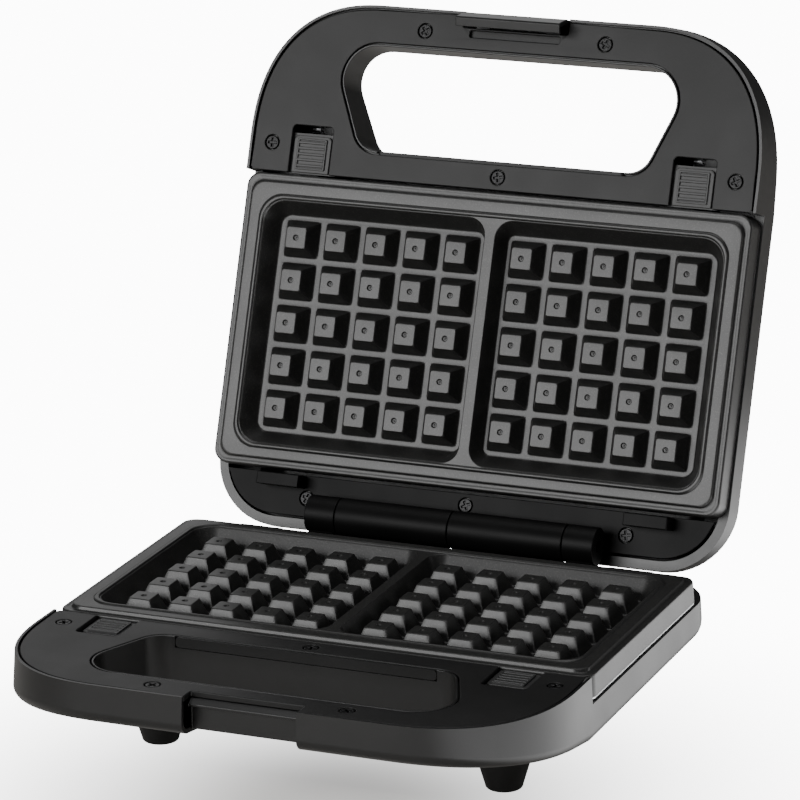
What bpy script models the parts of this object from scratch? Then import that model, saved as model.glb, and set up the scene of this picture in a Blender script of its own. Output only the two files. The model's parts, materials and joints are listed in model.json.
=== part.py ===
"""Waffle maker with a hinged lid, two removable plates, four release buttons and a front latch.

Base and lid share one set of builders. Each half is modelled in its own frame: X to the right, the front
at -Y, the closing plane between the two plates at Z = 0, and the body below it. The lid's frame is the
base's, turned half a turn about Y and then swung open about the hinge.
"""
import math

import bmesh
import bpy
from mathutils import Matrix

# Waffle grid
PITCH = 0.0185
PEGS_ACROSS = 5
INNER_COLUMNS_APART = 0.0300
PEG_TOP = 0.0088
PEG_FOOT = 0.0155
PEG_TOP_Z = -0.00165
CAVITY_FLOOR_Z = -0.0097
DIVIDER_TOP_Z = -0.0012
DIVIDER_TOP_WIDTH = 0.0048
DIVIDER_FOOT_WIDTH = 0.0106
PLATE_THICKNESS = 0.0026

# Plate edge
PLATE_HALF = 0.1155
PLATE_FRONT = -0.0645
PLATE_BACK = 0.0630
PLATE_CORNER = 0.006
PLATE_EDGE_Z = -0.0096

# Case
CASE_CORNER_X = 0.060
CASE_CORNER_Y = -0.078
CASE_CORNER_WIDE = 0.0560
CASE_CORNER_LONG = 0.0621
CASE_CORNER_POWER = 2.4
CASE_HALF = CASE_CORNER_X + CASE_CORNER_WIDE
CASE_FRONT = CASE_CORNER_Y - CASE_CORNER_LONG
CASE_BACK = 0.0866
CASE_BACK_CORNER = 0.028
CASE_WALL = 0.0020
CASE_DRAFT = 0.0010
CASE_EDGE_RADIUS = 0.0050
STEP_Y = -0.0650
RIM_Z = -0.0015
SIDE_RIM_Z = -0.0125
SIDE_RIM_WIDTH = 0.0035
SIDE_RIM_DEPTH = 0.0022
UNDERSIDE = ((CASE_FRONT, -0.0172), (-0.0660, -0.0285), (0.0600, -0.0278), (CASE_BACK, -0.0243))
BELLY_Z = {"base": -0.0360, "lid": -0.0340}
BELLY_TOP_Z = -0.0205
BELLY_TURN = 0.0015
BELLY_TOP = (0.112, -0.075, 0.0855, 0.026)
BELLY_SIDE = (0.099, -0.0715, 0.0825, 0.022)
BELLY_BOTTOM = (0.094, -0.069, 0.0790, 0.019)

# Panels
PANEL_Z = -0.0017
PANEL_THICKNESS = 0.0022
PANEL_INSET = 0.0015
PANEL_FLANGE_HALF = 0.0560
PANEL_FLANGE_Z = -0.0063
REAR_PANEL_Z = -0.0110
REAR_PANEL_THICKNESS = 0.0020
REAR_PANEL_FRONT = 0.0642
GAP = 0.0003

# Handle opening
HOLE_FRONT = -0.1225
HOLE_BACK = -0.0773
HOLE_FRONT_HALF = 0.0827
HOLE_BACK_HALF = 0.0641
HOLE_FRONT_RADIUS = 0.0145
HOLE_BACK_RADIUS = 0.0105

# Hinge
HINGE_Y = 0.0802
OPEN_ANGLE = math.radians(110.6)
BARREL_RADIUS = 0.0081
BARREL_LENGTH = 0.0512
BARREL_GAP = 0.0004
KNUCKLE_LENGTH = 0.0136
HINGE_BORE = 0.0028
HINGE_PIN = 0.0024

# Release buttons
BUTTON_X = 0.0870
BUTTON_HALF = 0.00865
BUTTON_FRONT = -0.0815
BUTTON_Z = -0.0022
SLOT_HALF = 0.0095
SLOT_FRONT = -0.0858

# Latch and catch
LATCH_HALF = 0.0235
LATCH_SLOT_HALF = 0.0240
LATCH_AXIS_Y = -0.1330
LATCH_AXIS_Z = -0.0080
LATCH_PIN = 0.00125
LATCH_THICKNESS = 0.0021
LATCH_TAIL_Z = -0.0124
LATCH_OPENING_Z = -0.0144
LATCH_LUG_X = 0.0160
LATCH_EAR_X = 0.0254
HOOK_TIP_Z = 0.0095
HOOK_LEAN = 0.0033
HOOK_LENGTH = 0.0040
CATCH_BACK = -0.1265
CATCH_BOTTOM = -0.0172

# Feet
FOOT_X = 0.075
FOOT_FRONT_Y = -0.054
FOOT_BACK_Y = 0.065
FOOT_TOP_RADIUS = 0.0130
FOOT_BOTTOM_RADIUS = 0.0072
CLOSING_HEIGHT = 0.0565

# The model's origin is under the middle of its box, whose back is the top edge of the open lid.
BOX_MIDDLE_Y = 0.01601

# Cord inlet in the sloping back of the belly
GROMMET = (-0.045, 0.08255, -0.0286)
GROMMET_TILT = math.radians(12.1)

FRONT_SCREWS = ((-0.1055, -0.0773), (0.1055, -0.0773), (-0.0410, -0.1305), (0.0410, -0.1305), (0.0, -0.0705))
REAR_SCREWS = ((-0.0730, 0.0740), (0.0730, 0.0740), (0.0, 0.0692))
SCREW_HEAD = 0.0029
SCREW_SHAFT = 0.0011
BOSS_RADIUS = 0.0034
BOSS_BORE = 0.0015

# Plate blocks on the rear panels
BLOCK_X = 0.08375
BLOCK_HALF = 0.00975
BLOCK_FRONT = 0.0646
BLOCK_BACK = 0.0700
BLOCK_TOP_Z = {"base": -0.0045, "lid": PANEL_Z}

# Heating parts
PAN_RINGS = ((0.1120, -0.0625, 0.0618, 0.008, -0.0130), (0.1095, -0.0600, 0.0592, 0.007, -0.0130),
             (0.1080, -0.0585, 0.0577, 0.006, -0.0205))
PAN_SHEET = 0.0008
ELEMENT_RADIUS = 0.0032
ELEMENT_Z = -0.0164
ELEMENT_BEND = 0.012
ELEMENT_HALF = 0.092
ELEMENT_FRONT = -0.042
ELEMENT_BACK = 0.044
ELEMENT_END_X = 0.012
LAMP_X = 0.012
LAMP_Y = -0.058


# ---------------------------------------------------------------- scene, objects and materials

def clear_scene():
    for item in list(bpy.data.objects):
        bpy.data.objects.remove(item, do_unlink=True)


def new_collection(name):
    group = bpy.data.collections.new(name)
    bpy.context.scene.collection.children.link(group)
    return group


def material(name, colour, roughness, metallic=0.0):
    mat = bpy.data.materials.new(name)
    mat.use_nodes = True
    shader = mat.node_tree.nodes["Principled BSDF"]
    shader.inputs["Base Color"].default_value = (*colour, 1.0)
    shader.inputs["Roughness"].default_value = roughness
    shader.inputs["Metallic"].default_value = metallic
    return mat


def empty(name, parent, location=(0, 0, 0), rotation=(0, 0, 0)):
    node = bpy.data.objects.new(name, None)
    PARTS.objects.link(node)
    node.parent = parent
    node.location = location
    node.rotation_euler = rotation
    return node


def finish_mesh(bm, name):
    bmesh.ops.recalc_face_normals(bm, faces=bm.faces)
    mesh = bpy.data.meshes.new(name)
    bm.to_mesh(mesh)
    bm.free()
    return mesh


def piece(name, mesh, mat, parent, location=(0, 0, 0), rotation=(0, 0, 0), smooth=False):
    """A part of the model: its own object, in its parent's frame."""
    node = bpy.data.objects.new(name, mesh)
    PARTS.objects.link(node)
    node.parent = parent
    node.location = location
    node.rotation_euler = rotation
    mesh.materials.clear()
    mesh.materials.append(mat)
    if smooth:
        mesh.shade_smooth()
        mesh.set_sharp_from_angle(angle=math.radians(35))
    return node


def tool(name, mesh, parent):
    """A solid that only cuts or adds to others."""
    node = bpy.data.objects.new(name, mesh)
    CUTTERS.objects.link(node)
    node.parent = parent
    node.hide_render = True
    node.display_type = "WIRE"
    return node


def boolean(target, other, operation, solver="EXACT"):
    step = target.modifiers.new(f"{operation.lower()} {other.name}", "BOOLEAN")
    step.operation = operation
    step.solver = solver
    step.object = other


# ---------------------------------------------------------------- outlines

def arc(centre_x, centre_y, radius, start, end, steps):
    """Points on an arc between two angles in degrees."""
    angles = [math.radians(start + (end - start) * i / steps) for i in range(steps + 1)]
    return [(centre_x + radius * math.cos(a), centre_y + radius * math.sin(a)) for a in angles]


def rounded_rectangle(half, front, back, radius, steps=4):
    """Counter-clockwise from the front right corner."""
    points = arc(half - radius, front + radius, radius, -90, 0, steps)
    points += arc(half - radius, back - radius, radius, 0, 90, steps)
    return points + [(-x, y) for x, y in reversed(points)]


def case_outline(inset=0.0):
    """Right side from front to back, then its mirror image from back to front.

    The front corner is a quarter of |x/a|^n + |y/b|^n = 1, the back corner a quarter circle.
    """
    wide = CASE_CORNER_WIDE - inset
    long = CASE_CORNER_LONG - inset
    power = 2.0 / CASE_CORNER_POWER
    right = []
    steps = 9
    for i in range(steps + 1):
        turn = math.radians(90.0 * i / steps)
        across = max(math.sin(turn), 0.0) ** power
        along = max(math.cos(turn), 0.0) ** power
        right.append((CASE_CORNER_X + wide * across, CASE_CORNER_Y - long * along))
    right.append((CASE_HALF - inset, STEP_Y - 0.001))
    right.append((CASE_HALF - inset, 0.0))
    corner_x = CASE_HALF - CASE_BACK_CORNER
    corner_y = CASE_BACK - CASE_BACK_CORNER
    right += arc(corner_x, corner_y, CASE_BACK_CORNER - inset, 0, 90, 6)
    return right + [(-x, y) for x, y in reversed(right)]


def keep_beyond(points, limit, side):
    """The part of a closed outline with y above the limit (side 1) or below it (side -1)."""
    kept = []
    for (x0, y0), (x1, y1) in zip(points, points[1:] + points[:1]):
        inside0 = side * (y0 - limit) >= 0
        inside1 = side * (y1 - limit) >= 0
        if inside0:
            kept.append((x0, y0))
        if inside0 != inside1:
            share = (limit - y0) / (y1 - y0)
            kept.append((x0 + share * (x1 - x0), limit))
    return kept


def handle_outline(grow=0.0):
    """Trapezium with four rounded corners, wide at the front; grow moves its sides outward."""
    lean = (HOLE_FRONT_HALF - HOLE_BACK_HALF) / (HOLE_BACK - HOLE_FRONT)
    sideways = grow * math.hypot(1.0, lean)
    front = HOLE_FRONT - grow
    back = HOLE_BACK + grow
    front_half = HOLE_FRONT_HALF + sideways + lean * grow
    back_half = HOLE_BACK_HALF + sideways - lean * grow
    tilt = math.degrees(math.atan(lean))
    front_radius = HOLE_FRONT_RADIUS + grow
    back_radius = HOLE_BACK_RADIUS + grow
    front_run = front_radius * math.tan(math.radians(90 + tilt) / 2)
    back_run = back_radius * math.tan(math.radians(90 - tilt) / 2)
    right = arc(front_half - front_run, front + front_radius, front_radius, -90, tilt, 6)
    right += arc(back_half - back_run, back - back_radius, back_radius, tilt, 90, 4)
    return right + [(-x, y) for x, y in reversed(right)]


def underside(y):
    """Height of the case's lower edge, which rises towards the front."""
    for (y0, z0), (y1, z1) in zip(UNDERSIDE, UNDERSIDE[1:]):
        if y <= y1:
            share = max(0.0, (y - y0) / (y1 - y0))
            return z0 + share * (z1 - z0)
    return UNDERSIDE[-1][1]


# ---------------------------------------------------------------- solids

def lofted(name, rings, open_top=False):
    """Skin over rings of equal length, each a list of points; the ends are closed by rungs.

    A ring's second half mirrors its first half in X, so each rung is level across the piece.
    """
    bm = bmesh.new()
    rows = [[bm.verts.new(p) for p in ring] for ring in rings]
    count = len(rows[0])
    for upper, lower in zip(rows, rows[1:]):
        for i in range(count):
            j = (i + 1) % count
            bm.faces.new((upper[i], upper[j], lower[j], lower[i]))
    ends = [rows[-1]] if open_top else [rows[0], rows[-1]]
    for row in ends:
        for i in range(count // 2 - 1):
            bm.faces.new((row[i], row[i + 1], row[count - 2 - i], row[count - 1 - i]))
    return finish_mesh(bm, name)


def level(points, z):
    return [(x, y, z) for x, y in points]


def flat_mesh(name, outlines, low, high):
    """A flat piece cut to closed outlines (the inner ones are openings), made from a filled 2D curve."""
    curve = bpy.data.curves.new(name, "CURVE")
    curve.dimensions = "2D"
    curve.fill_mode = "BOTH"
    curve.extrude = (high - low) / 2
    for points in outlines:
        spline = curve.splines.new("POLY")
        spline.points.add(len(points) - 1)
        for point, (x, y) in zip(spline.points, points):
            point.co = (x, y, 0.0, 1.0)
        spline.use_cyclic_u = True
    return mesh_from_curve(name, curve, Matrix.Translation((0, 0, (low + high) / 2)))


def tube_mesh(name, points, radius, resolution=2):
    """A round rod along a polyline, closed at both ends."""
    curve = bpy.data.curves.new(name, "CURVE")
    curve.dimensions = "3D"
    curve.bevel_depth = radius
    curve.bevel_resolution = resolution
    curve.use_fill_caps = True
    spline = curve.splines.new("POLY")
    spline.points.add(len(points) - 1)
    for point, place in zip(spline.points, points):
        point.co = (*place, 1.0)
    return mesh_from_curve(name, curve, Matrix.Identity(4))


def mesh_from_curve(name, curve, matrix):
    holder = bpy.data.objects.new(name, curve)
    bpy.context.scene.collection.objects.link(holder)
    bpy.context.view_layer.update()
    graph = bpy.context.evaluated_depsgraph_get()
    mesh = bpy.data.meshes.new_from_object(holder.evaluated_get(graph))
    bpy.data.objects.remove(holder, do_unlink=True)
    bm = bmesh.new()
    bm.from_mesh(mesh)
    bpy.data.meshes.remove(mesh)
    bmesh.ops.remove_doubles(bm, verts=bm.verts, dist=0.000001)
    bmesh.ops.transform(bm, matrix=matrix, verts=bm.verts)
    return finish_mesh(bm, name)


def add_box(bm, low, high):
    size = [b - a for a, b in zip(low, high)]
    middle = [(a + b) / 2 for a, b in zip(low, high)]
    matrix = Matrix.Translation(middle) @ Matrix.Diagonal((*size, 1.0))
    bmesh.ops.create_cube(bm, size=1.0, matrix=matrix)


def add_post(bm, x, y, low, high, radius, top_radius=None, segments=10):
    """A round or tapered post, upright."""
    top = radius if top_radius is None else top_radius
    matrix = Matrix.Translation((x, y, (low + high) / 2))
    bmesh.ops.create_cone(
        bm, cap_ends=True, segments=segments, radius1=radius, radius2=top, depth=high - low, matrix=matrix
    )


def add_bar(bm, x0, x1, y, z, radius, segments=20):
    """A round bar along X."""
    matrix = Matrix.Translation(((x0 + x1) / 2, y, z)) @ Matrix.Rotation(math.pi / 2, 4, "Y")
    bmesh.ops.create_cone(
        bm, cap_ends=True, segments=segments, radius1=radius, radius2=radius, depth=x1 - x0, matrix=matrix
    )


def boxes_mesh(name, boxes):
    bm = bmesh.new()
    for low, high in boxes:
        add_box(bm, low, high)
    return finish_mesh(bm, name)


def posts_mesh(name, places, low, high, radius):
    bm = bmesh.new()
    for x, y in places:
        add_post(bm, x, y, low, high, radius)
    return finish_mesh(bm, name)


def bar_mesh(name, x0, x1, y, z, radius, segments=20):
    bm = bmesh.new()
    add_bar(bm, x0, x1, y, z, radius, segments)
    return finish_mesh(bm, name)


def turned_mesh(name, profile, steps=24):
    """A solid turned about Z; the profile runs down the outer side, from the axis to the axis."""
    mesh = bpy.data.meshes.new(name)
    mesh.from_pydata([(r, 0, z) for r, z in profile], [(i, i + 1) for i in range(len(profile) - 1)], [])
    holder = bpy.data.objects.new(name, mesh)
    bpy.context.scene.collection.objects.link(holder)
    screw = holder.modifiers.new("turned", "SCREW")
    screw.axis = "Z"
    screw.steps = steps
    screw.render_steps = steps
    screw.use_merge_vertices = True
    screw.merge_threshold = 0.00001
    graph = bpy.context.evaluated_depsgraph_get()
    turned = bpy.data.meshes.new_from_object(holder.evaluated_get(graph))
    bpy.data.objects.remove(holder, do_unlink=True)
    bm = bmesh.new()
    bm.from_mesh(turned)
    bpy.data.meshes.remove(turned)
    bmesh.ops.remove_doubles(bm, verts=bm.verts, dist=0.00001)
    return finish_mesh(bm, name)


# ---------------------------------------------------------------- case shells

def main_body(name, inset, lift, top):
    """Case volume: drafted walls, a rounded lower edge and an underside that follows underside(y)."""
    radius = CASE_EDGE_RADIUS - lift
    rings = [level(case_outline(inset), top)]
    for degrees in (0, 30, 60, 90):
        turn = math.radians(degrees)
        outline = case_outline(inset - CASE_DRAFT + radius * (1 - math.cos(turn)))
        rise = lift + radius * (1 - math.sin(turn))
        rings.append([(x, y, underside(y) + rise) for x, y in outline])
    return lofted(name, rings)


def belly_body(name, inset, top, bottom):
    """The deeper middle of the case, under the heating pan."""
    rings = []
    for size, z in ((BELLY_TOP, top), (BELLY_SIDE, bottom + BELLY_TURN), (BELLY_BOTTOM, bottom)):
        half, front, back, radius = size
        outline = rounded_rectangle(half - inset, front + inset, back - inset, radius - inset, 6)
        rings.append(level(outline, z))
    return lofted(name, rings)


def side_rim_outline():
    """The U-shaped rim beside and behind the plate."""
    outer = keep_beyond(case_outline(0.0005), STEP_Y - 0.0005, 1)
    inner = keep_beyond(case_outline(SIDE_RIM_WIDTH), STEP_Y - 0.0005, 1)
    return from_front_right(outer) + from_front_right(inner)[::-1]


def from_front_right(points):
    """The same closed outline, starting at its front right point."""
    start = min(range(len(points)), key=lambda i: (round(points[i][1], 5), -points[i][0]))
    return points[start:] + points[:start]


def case_cavity(half, frame):
    """The space inside a shell: everything but the handle's wall, the screw bosses and the side rim."""
    floor = BELLY_Z[half] + CASE_WALL
    cavity = tool(f"{half} cavity", main_body(f"{half} cavity", CASE_WALL, CASE_WALL, 0.003), frame)
    space = belly_body(f"{half} belly space", CASE_WALL, BELLY_TOP_Z + CASE_WALL, floor)
    boolean(cavity, tool(f"{half} belly space", space, frame), "UNION")
    low = BELLY_Z[half] - 0.002
    front_top = PANEL_Z - PANEL_THICKNESS + GAP
    wall = flat_mesh(f"{half} handle wall", [handle_outline(CASE_WALL)], low, front_top)
    boolean(cavity, tool(f"{half} handle wall", wall, frame), "DIFFERENCE")
    front = posts_mesh(f"{half} front bosses", FRONT_SCREWS, low, front_top, BOSS_RADIUS)
    boolean(cavity, tool(f"{half} front bosses", front, frame), "DIFFERENCE")
    rear_top = REAR_PANEL_Z - REAR_PANEL_THICKNESS - GAP
    rear = posts_mesh(f"{half} rear bosses", REAR_SCREWS, low, rear_top, BOSS_RADIUS)
    boolean(cavity, tool(f"{half} rear bosses", rear, frame), "DIFFERENCE")
    rim = flat_mesh(f"{half} side rim", [side_rim_outline()], SIDE_RIM_Z - SIDE_RIM_DEPTH, SIDE_RIM_Z + 0.001)
    boolean(cavity, tool(f"{half} side rim", rim, frame), "DIFFERENCE")
    return cavity


def case_shell(half, frame, mat):
    shell = piece(f"{half}_shell", main_body(f"{half}_shell", 0.0, 0.0, RIM_Z), mat, frame)
    belly = tool(f"{half} belly", belly_body(f"{half} belly", 0.0, BELLY_TOP_Z, BELLY_Z[half]), frame)
    boolean(shell, belly, "UNION")
    boolean(shell, case_cavity(half, frame), "DIFFERENCE")
    low = BELLY_Z[half] - 0.004
    hole = flat_mesh(f"{half} handle hole", [handle_outline()], low, 0.005)
    boolean(shell, tool(f"{half} handle hole", hole, frame), "DIFFERENCE")
    seat_outline = keep_beyond(case_outline(PANEL_INSET - GAP), STEP_Y + 0.003, -1)
    seat_low = PANEL_Z - PANEL_THICKNESS - GAP
    seat = flat_mesh(f"{half} panel seat", [seat_outline], seat_low, 0.004)
    boolean(shell, tool(f"{half} panel seat", seat, frame), "DIFFERENCE")
    flange_seat = ((-PANEL_FLANGE_HALF - GAP, HOLE_BACK - 0.003, PANEL_FLANGE_Z - GAP),
                   (PANEL_FLANGE_HALF + GAP, HOLE_BACK + 0.0025, 0.002))
    flange_tool = tool(f"{half} flange seat", boxes_mesh("flange seat", [flange_seat]), frame)
    boolean(shell, flange_tool, "DIFFERENCE")
    side_cut = ((-0.130, STEP_Y, SIDE_RIM_Z), (0.130, 0.100, 0.006))
    side_tool = tool(f"{half} side cut", boxes_mesh("side cut", [side_cut]), frame)
    boolean(shell, side_tool, "DIFFERENCE", "MANIFOLD")
    holes = posts_mesh(f"{half} boss holes", FRONT_SCREWS, -0.0145, 0.002, BOSS_BORE)
    boolean(shell, tool(f"{half} front boss holes", holes, frame), "DIFFERENCE")
    holes = posts_mesh(f"{half} rear boss holes", REAR_SCREWS, -0.0215, 0.002, BOSS_BORE)
    boolean(shell, tool(f"{half} rear boss holes", holes, frame), "DIFFERENCE")
    return shell


# ---------------------------------------------------------------- panels

def front_panel(half, frame, mat):
    """The trim around the handle opening, with slots for the buttons and seats for five screws."""
    outline = keep_beyond(case_outline(PANEL_INSET), STEP_Y, -1)
    low = PANEL_Z - PANEL_THICKNESS
    mesh = flat_mesh(f"{half}_panel", [outline, handle_outline()], low, PANEL_Z)
    panel = piece(f"{half}_panel", mesh, mat, frame)
    flange = ((-PANEL_FLANGE_HALF, HOLE_BACK + 0.00004, PANEL_FLANGE_Z),
              (PANEL_FLANGE_HALF, HOLE_BACK + 0.0017, PANEL_Z - 0.001))
    boolean(panel, tool(f"{half} panel flange", boxes_mesh("flange", [flange]), frame), "UNION")
    notch_back = LATCH_AXIS_Y + (0.0012 if half == "base" else -0.0002)
    cuts = [((-LATCH_SLOT_HALF, CASE_FRONT - 0.002, low - 0.001), (LATCH_SLOT_HALF, notch_back, 0.001))]
    for side in (-1, 1):
        x = side * BUTTON_X
        cuts.append(((x - SLOT_HALF, SLOT_FRONT, low - 0.001), (x + SLOT_HALF, STEP_Y + 0.001, 0.001)))
    boolean(panel, tool(f"{half} panel cuts", boxes_mesh("slots", cuts), frame), "DIFFERENCE")
    seats = posts_mesh("seats", FRONT_SCREWS, PANEL_Z - 0.0014, 0.002, SCREW_HEAD + 0.0004)
    boolean(panel, tool(f"{half} screw seats", seats, frame), "DIFFERENCE")
    holes = posts_mesh("holes", FRONT_SCREWS, low - 0.002, 0.001, SCREW_SHAFT + 0.0004)
    boolean(panel, tool(f"{half} screw holes", holes, frame), "DIFFERENCE")
    return panel


def rear_panel(half, frame, mat):
    """The cover behind the plate, with the two blocks that the plate's back edge stands against."""
    outline = keep_beyond(case_outline(SIDE_RIM_WIDTH + 0.0004), REAR_PANEL_FRONT, 1)
    low = REAR_PANEL_Z - REAR_PANEL_THICKNESS
    panel = piece(f"{half}_rear_panel", flat_mesh(f"{half}_rear_panel", [outline], low, REAR_PANEL_Z), mat, frame)
    blocks = []
    for side in (-1, 1):
        x = side * BLOCK_X
        corner = (x - BLOCK_HALF, BLOCK_FRONT, REAR_PANEL_Z - 0.001)
        blocks.append((corner, (x + BLOCK_HALF, BLOCK_BACK, BLOCK_TOP_Z[half])))
    boolean(panel, tool(f"{half} plate blocks", boxes_mesh("blocks", blocks), frame), "UNION")
    seats = posts_mesh("rear seats", REAR_SCREWS, REAR_PANEL_Z - 0.0012, 0.002, SCREW_HEAD + 0.0004)
    boolean(panel, tool(f"{half} rear seats", seats, frame), "DIFFERENCE")
    holes = posts_mesh("rear holes", REAR_SCREWS, low - 0.002, 0.001, SCREW_SHAFT + 0.0004)
    boolean(panel, tool(f"{half} rear holes", holes, frame), "DIFFERENCE")
    return panel


def screws(half, frame, mat):
    head = turned_mesh("screw", [(0.0, 0.0), (SCREW_HEAD - 0.0006, 0.0), (SCREW_HEAD, -0.0004),
                                 (SCREW_HEAD, -0.0009), (SCREW_SHAFT, -0.0009), (SCREW_SHAFT, -0.0090),
                                 (0.0, -0.0100)], 10)
    for i, (x, y) in enumerate(FRONT_SCREWS):
        piece(f"{half}_panel_screw_{i + 1}", head, mat, frame, (x, y, PANEL_Z - 0.0002))
    for i, (x, y) in enumerate(REAR_SCREWS):
        piece(f"{half}_rear_screw_{i + 1}", head, mat, frame, (x, y, REAR_PANEL_Z - 0.0001))


# ---------------------------------------------------------------- cooking parts

def plate_rings():
    """From the outer edge up over the rim and bead, down into the cavity: half, front, back, radius, z."""
    return (
        (PLATE_HALF, PLATE_FRONT, PLATE_BACK, PLATE_CORNER, PLATE_EDGE_Z),
        (PLATE_HALF - 0.0005, PLATE_FRONT + 0.0005, PLATE_BACK - 0.0005, PLATE_CORNER, -0.0026),
        (PLATE_HALF - 0.0012, PLATE_FRONT + 0.0012, PLATE_BACK - 0.0012, PLATE_CORNER, -0.0020),
        (0.1128, -0.0614, 0.0600, 0.0055, -0.0020),
        (0.1118, -0.0603, 0.0590, 0.0055, -0.0007),
        (0.1070, -0.0552, 0.0548, 0.0105, -0.0007),
        (0.1065, -0.0547, 0.0543, 0.0105, -0.00025),
        (0.1052, -0.0533, 0.0532, 0.0100, -0.00025),
        (0.1045, -0.0525, 0.0525, 0.0095, -0.0010),
        (0.0998, -0.0475, 0.0475, 0.0045, CAVITY_FLOOR_Z),
    )


def add_frustum(bm, x, y, low, high, foot, top):
    """A four-sided block that narrows upward; foot and top are its half sizes."""
    corners = ((1, -1), (1, 1), (-1, 1), (-1, -1))
    lower = [bm.verts.new((x + sx * foot[0], y + sy * foot[1], low)) for sx, sy in corners]
    upper = [bm.verts.new((x + sx * top[0], y + sy * top[1], high)) for sx, sy in corners]
    bm.faces.new(lower)
    bm.faces.new(upper)
    for i in range(4):
        j = (i + 1) % 4
        bm.faces.new((lower[i], lower[j], upper[j], upper[i]))


def plate(name, frame, mat):
    rings = [level(rounded_rectangle(h, f, b, r), z) for h, f, b, r, z in plate_rings()]
    node = piece(name, lofted(name, rings, open_top=True), mat, frame)
    solid = node.modifiers.new("wall", "SOLIDIFY")
    solid.thickness = PLATE_THICKNESS
    solid.offset = -1.0
    solid.use_even_offset = True
    bm = bmesh.new()
    low = CAVITY_FLOOR_Z - PLATE_THICKNESS / 2
    slope = (PEG_FOOT - PEG_TOP) / 2 / (PEG_TOP_Z - CAVITY_FLOOR_Z)
    foot = PEG_FOOT / 2 + slope * PLATE_THICKNESS / 2
    for side in (-1, 1):
        for column in range(PEGS_ACROSS):
            x = side * (INNER_COLUMNS_APART / 2 + PITCH * column)
            for row in range(PEGS_ACROSS):
                y = PITCH * (row - (PEGS_ACROSS - 1) / 2)
                add_frustum(bm, x, y, low, PEG_TOP_Z, (foot, foot), (PEG_TOP / 2, PEG_TOP / 2))
    add_frustum(bm, 0, 0, low, DIVIDER_TOP_Z, (DIVIDER_FOOT_WIDTH / 2, 0.0505), (DIVIDER_TOP_WIDTH / 2, 0.0528))
    boolean(node, tool(f"{name} pegs", finish_mesh(bm, f"{name} pegs"), frame), "UNION")
    return node


def pan(half, frame, mat):
    """The reflector tray under the plate, with two holes for the heating element's ends."""
    rings = [level(rounded_rectangle(h, f, b, r), z) for h, f, b, r, z in PAN_RINGS]
    node = piece(f"{half}_pan", lofted(f"{half}_pan", rings, open_top=True), mat, frame)
    solid = node.modifiers.new("sheet", "SOLIDIFY")
    solid.thickness = PAN_SHEET
    solid.offset = -1.0
    ends = ((-ELEMENT_END_X, ELEMENT_BACK), (ELEMENT_END_X, ELEMENT_BACK))
    holes = posts_mesh("element holes", ends, -0.024, -0.018, ELEMENT_RADIUS + 0.0010)
    boolean(node, tool(f"{half} element holes", holes, frame), "DIFFERENCE")
    return node


def element_path():
    """A loop near the pan's edge whose two ends turn down through its floor."""
    z = ELEMENT_Z
    end = ELEMENT_END_X
    back = ELEMENT_BACK
    corner_x = ELEMENT_HALF - ELEMENT_BEND
    right = [(end, back, z - 0.0081), (end, back, z - 0.0040)]
    right += [(end + 0.0012, back, z - 0.0012), (end + 0.0040, back, z)]
    bends = reversed(arc(corner_x, back - ELEMENT_BEND, ELEMENT_BEND, 0, 90, 4))
    right += [(x, y, z) for x, y in bends]
    bends = reversed(arc(corner_x, ELEMENT_FRONT + ELEMENT_BEND, ELEMENT_BEND, -90, 0, 4))
    right += [(x, y, z) for x, y in bends]
    return right + [(-x, y, z0) for x, y, z0 in reversed(right)]


def heating_element(half, frame, mat):
    return piece(f"{half}_heating_element", tube_mesh("element", element_path(), ELEMENT_RADIUS, 1), mat, frame)


# ---------------------------------------------------------------- hinge

def hinge_sleeve(name, x0, x1, bore_from, bore_to, web, frame, mat):
    """A barrel on the hinge axis with a foot that stands on the rear panel."""
    node = piece(name, bar_mesh(name, x0, x1, HINGE_Y, 0.0, BARREL_RADIUS, 28), mat, frame)
    foot = ((web[0], HINGE_Y - 0.0060, REAR_PANEL_Z + GAP), (web[1], HINGE_Y + 0.0030, -0.0050))
    boolean(node, tool(f"{name} foot", boxes_mesh("foot", [foot]), frame), "UNION")
    bore = bar_mesh("bore", bore_from, bore_to, HINGE_Y, 0.0, HINGE_BORE, 16)
    boolean(node, tool(f"{name} bore", bore, frame), "DIFFERENCE")
    return node


def side_name(side):
    return "left" if side < 0 else "right"


def hinge_knuckles(frame, mat, steel):
    for side in (-1, 1):
        inner = BARREL_GAP / 2 + BARREL_LENGTH + BARREL_GAP
        outer = inner + KNUCKLE_LENGTH
        x0, x1 = sorted((side * inner, side * outer))
        hinge_sleeve(f"hinge_knuckle_{side_name(side)}", x0, x1, x0 - 0.001, x1 + 0.001,
                     (x0 + 0.001, x1 - 0.001), frame, mat)
        p0, p1 = sorted((side * (inner - 0.011), side * (outer - 0.002)))
        piece(f"hinge_pin_{side_name(side)}", bar_mesh("pin", p0, p1, HINGE_Y, 0.0, HINGE_PIN, 16), steel, frame)


def hinge_barrels(frame, mat):
    """Lid barrels; the lid frame is turned about Y, so its left is the model's right."""
    for side in (-1, 1):
        x0, x1 = sorted((side * BARREL_GAP / 2, side * (BARREL_GAP / 2 + BARREL_LENGTH)))
        end = side * (BARREL_GAP / 2 + BARREL_LENGTH)
        b0, b1 = sorted((end - side * 0.0125, end + side * 0.001))
        hinge_sleeve(f"hinge_barrel_{side_name(-side)}", x0, x1, b0, b1, (x0 + 0.002, x1 - 0.002), frame, mat)


# ---------------------------------------------------------------- buttons, latch and catch

def coil_points(radius, length, turns, per_turn=8):
    count = int(turns * per_turn)
    points = []
    for i in range(count + 1):
        turn = 2 * math.pi * i / per_turn
        points.append((radius * math.cos(turn), length * i / count, radius * math.sin(turn)))
    return points


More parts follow.
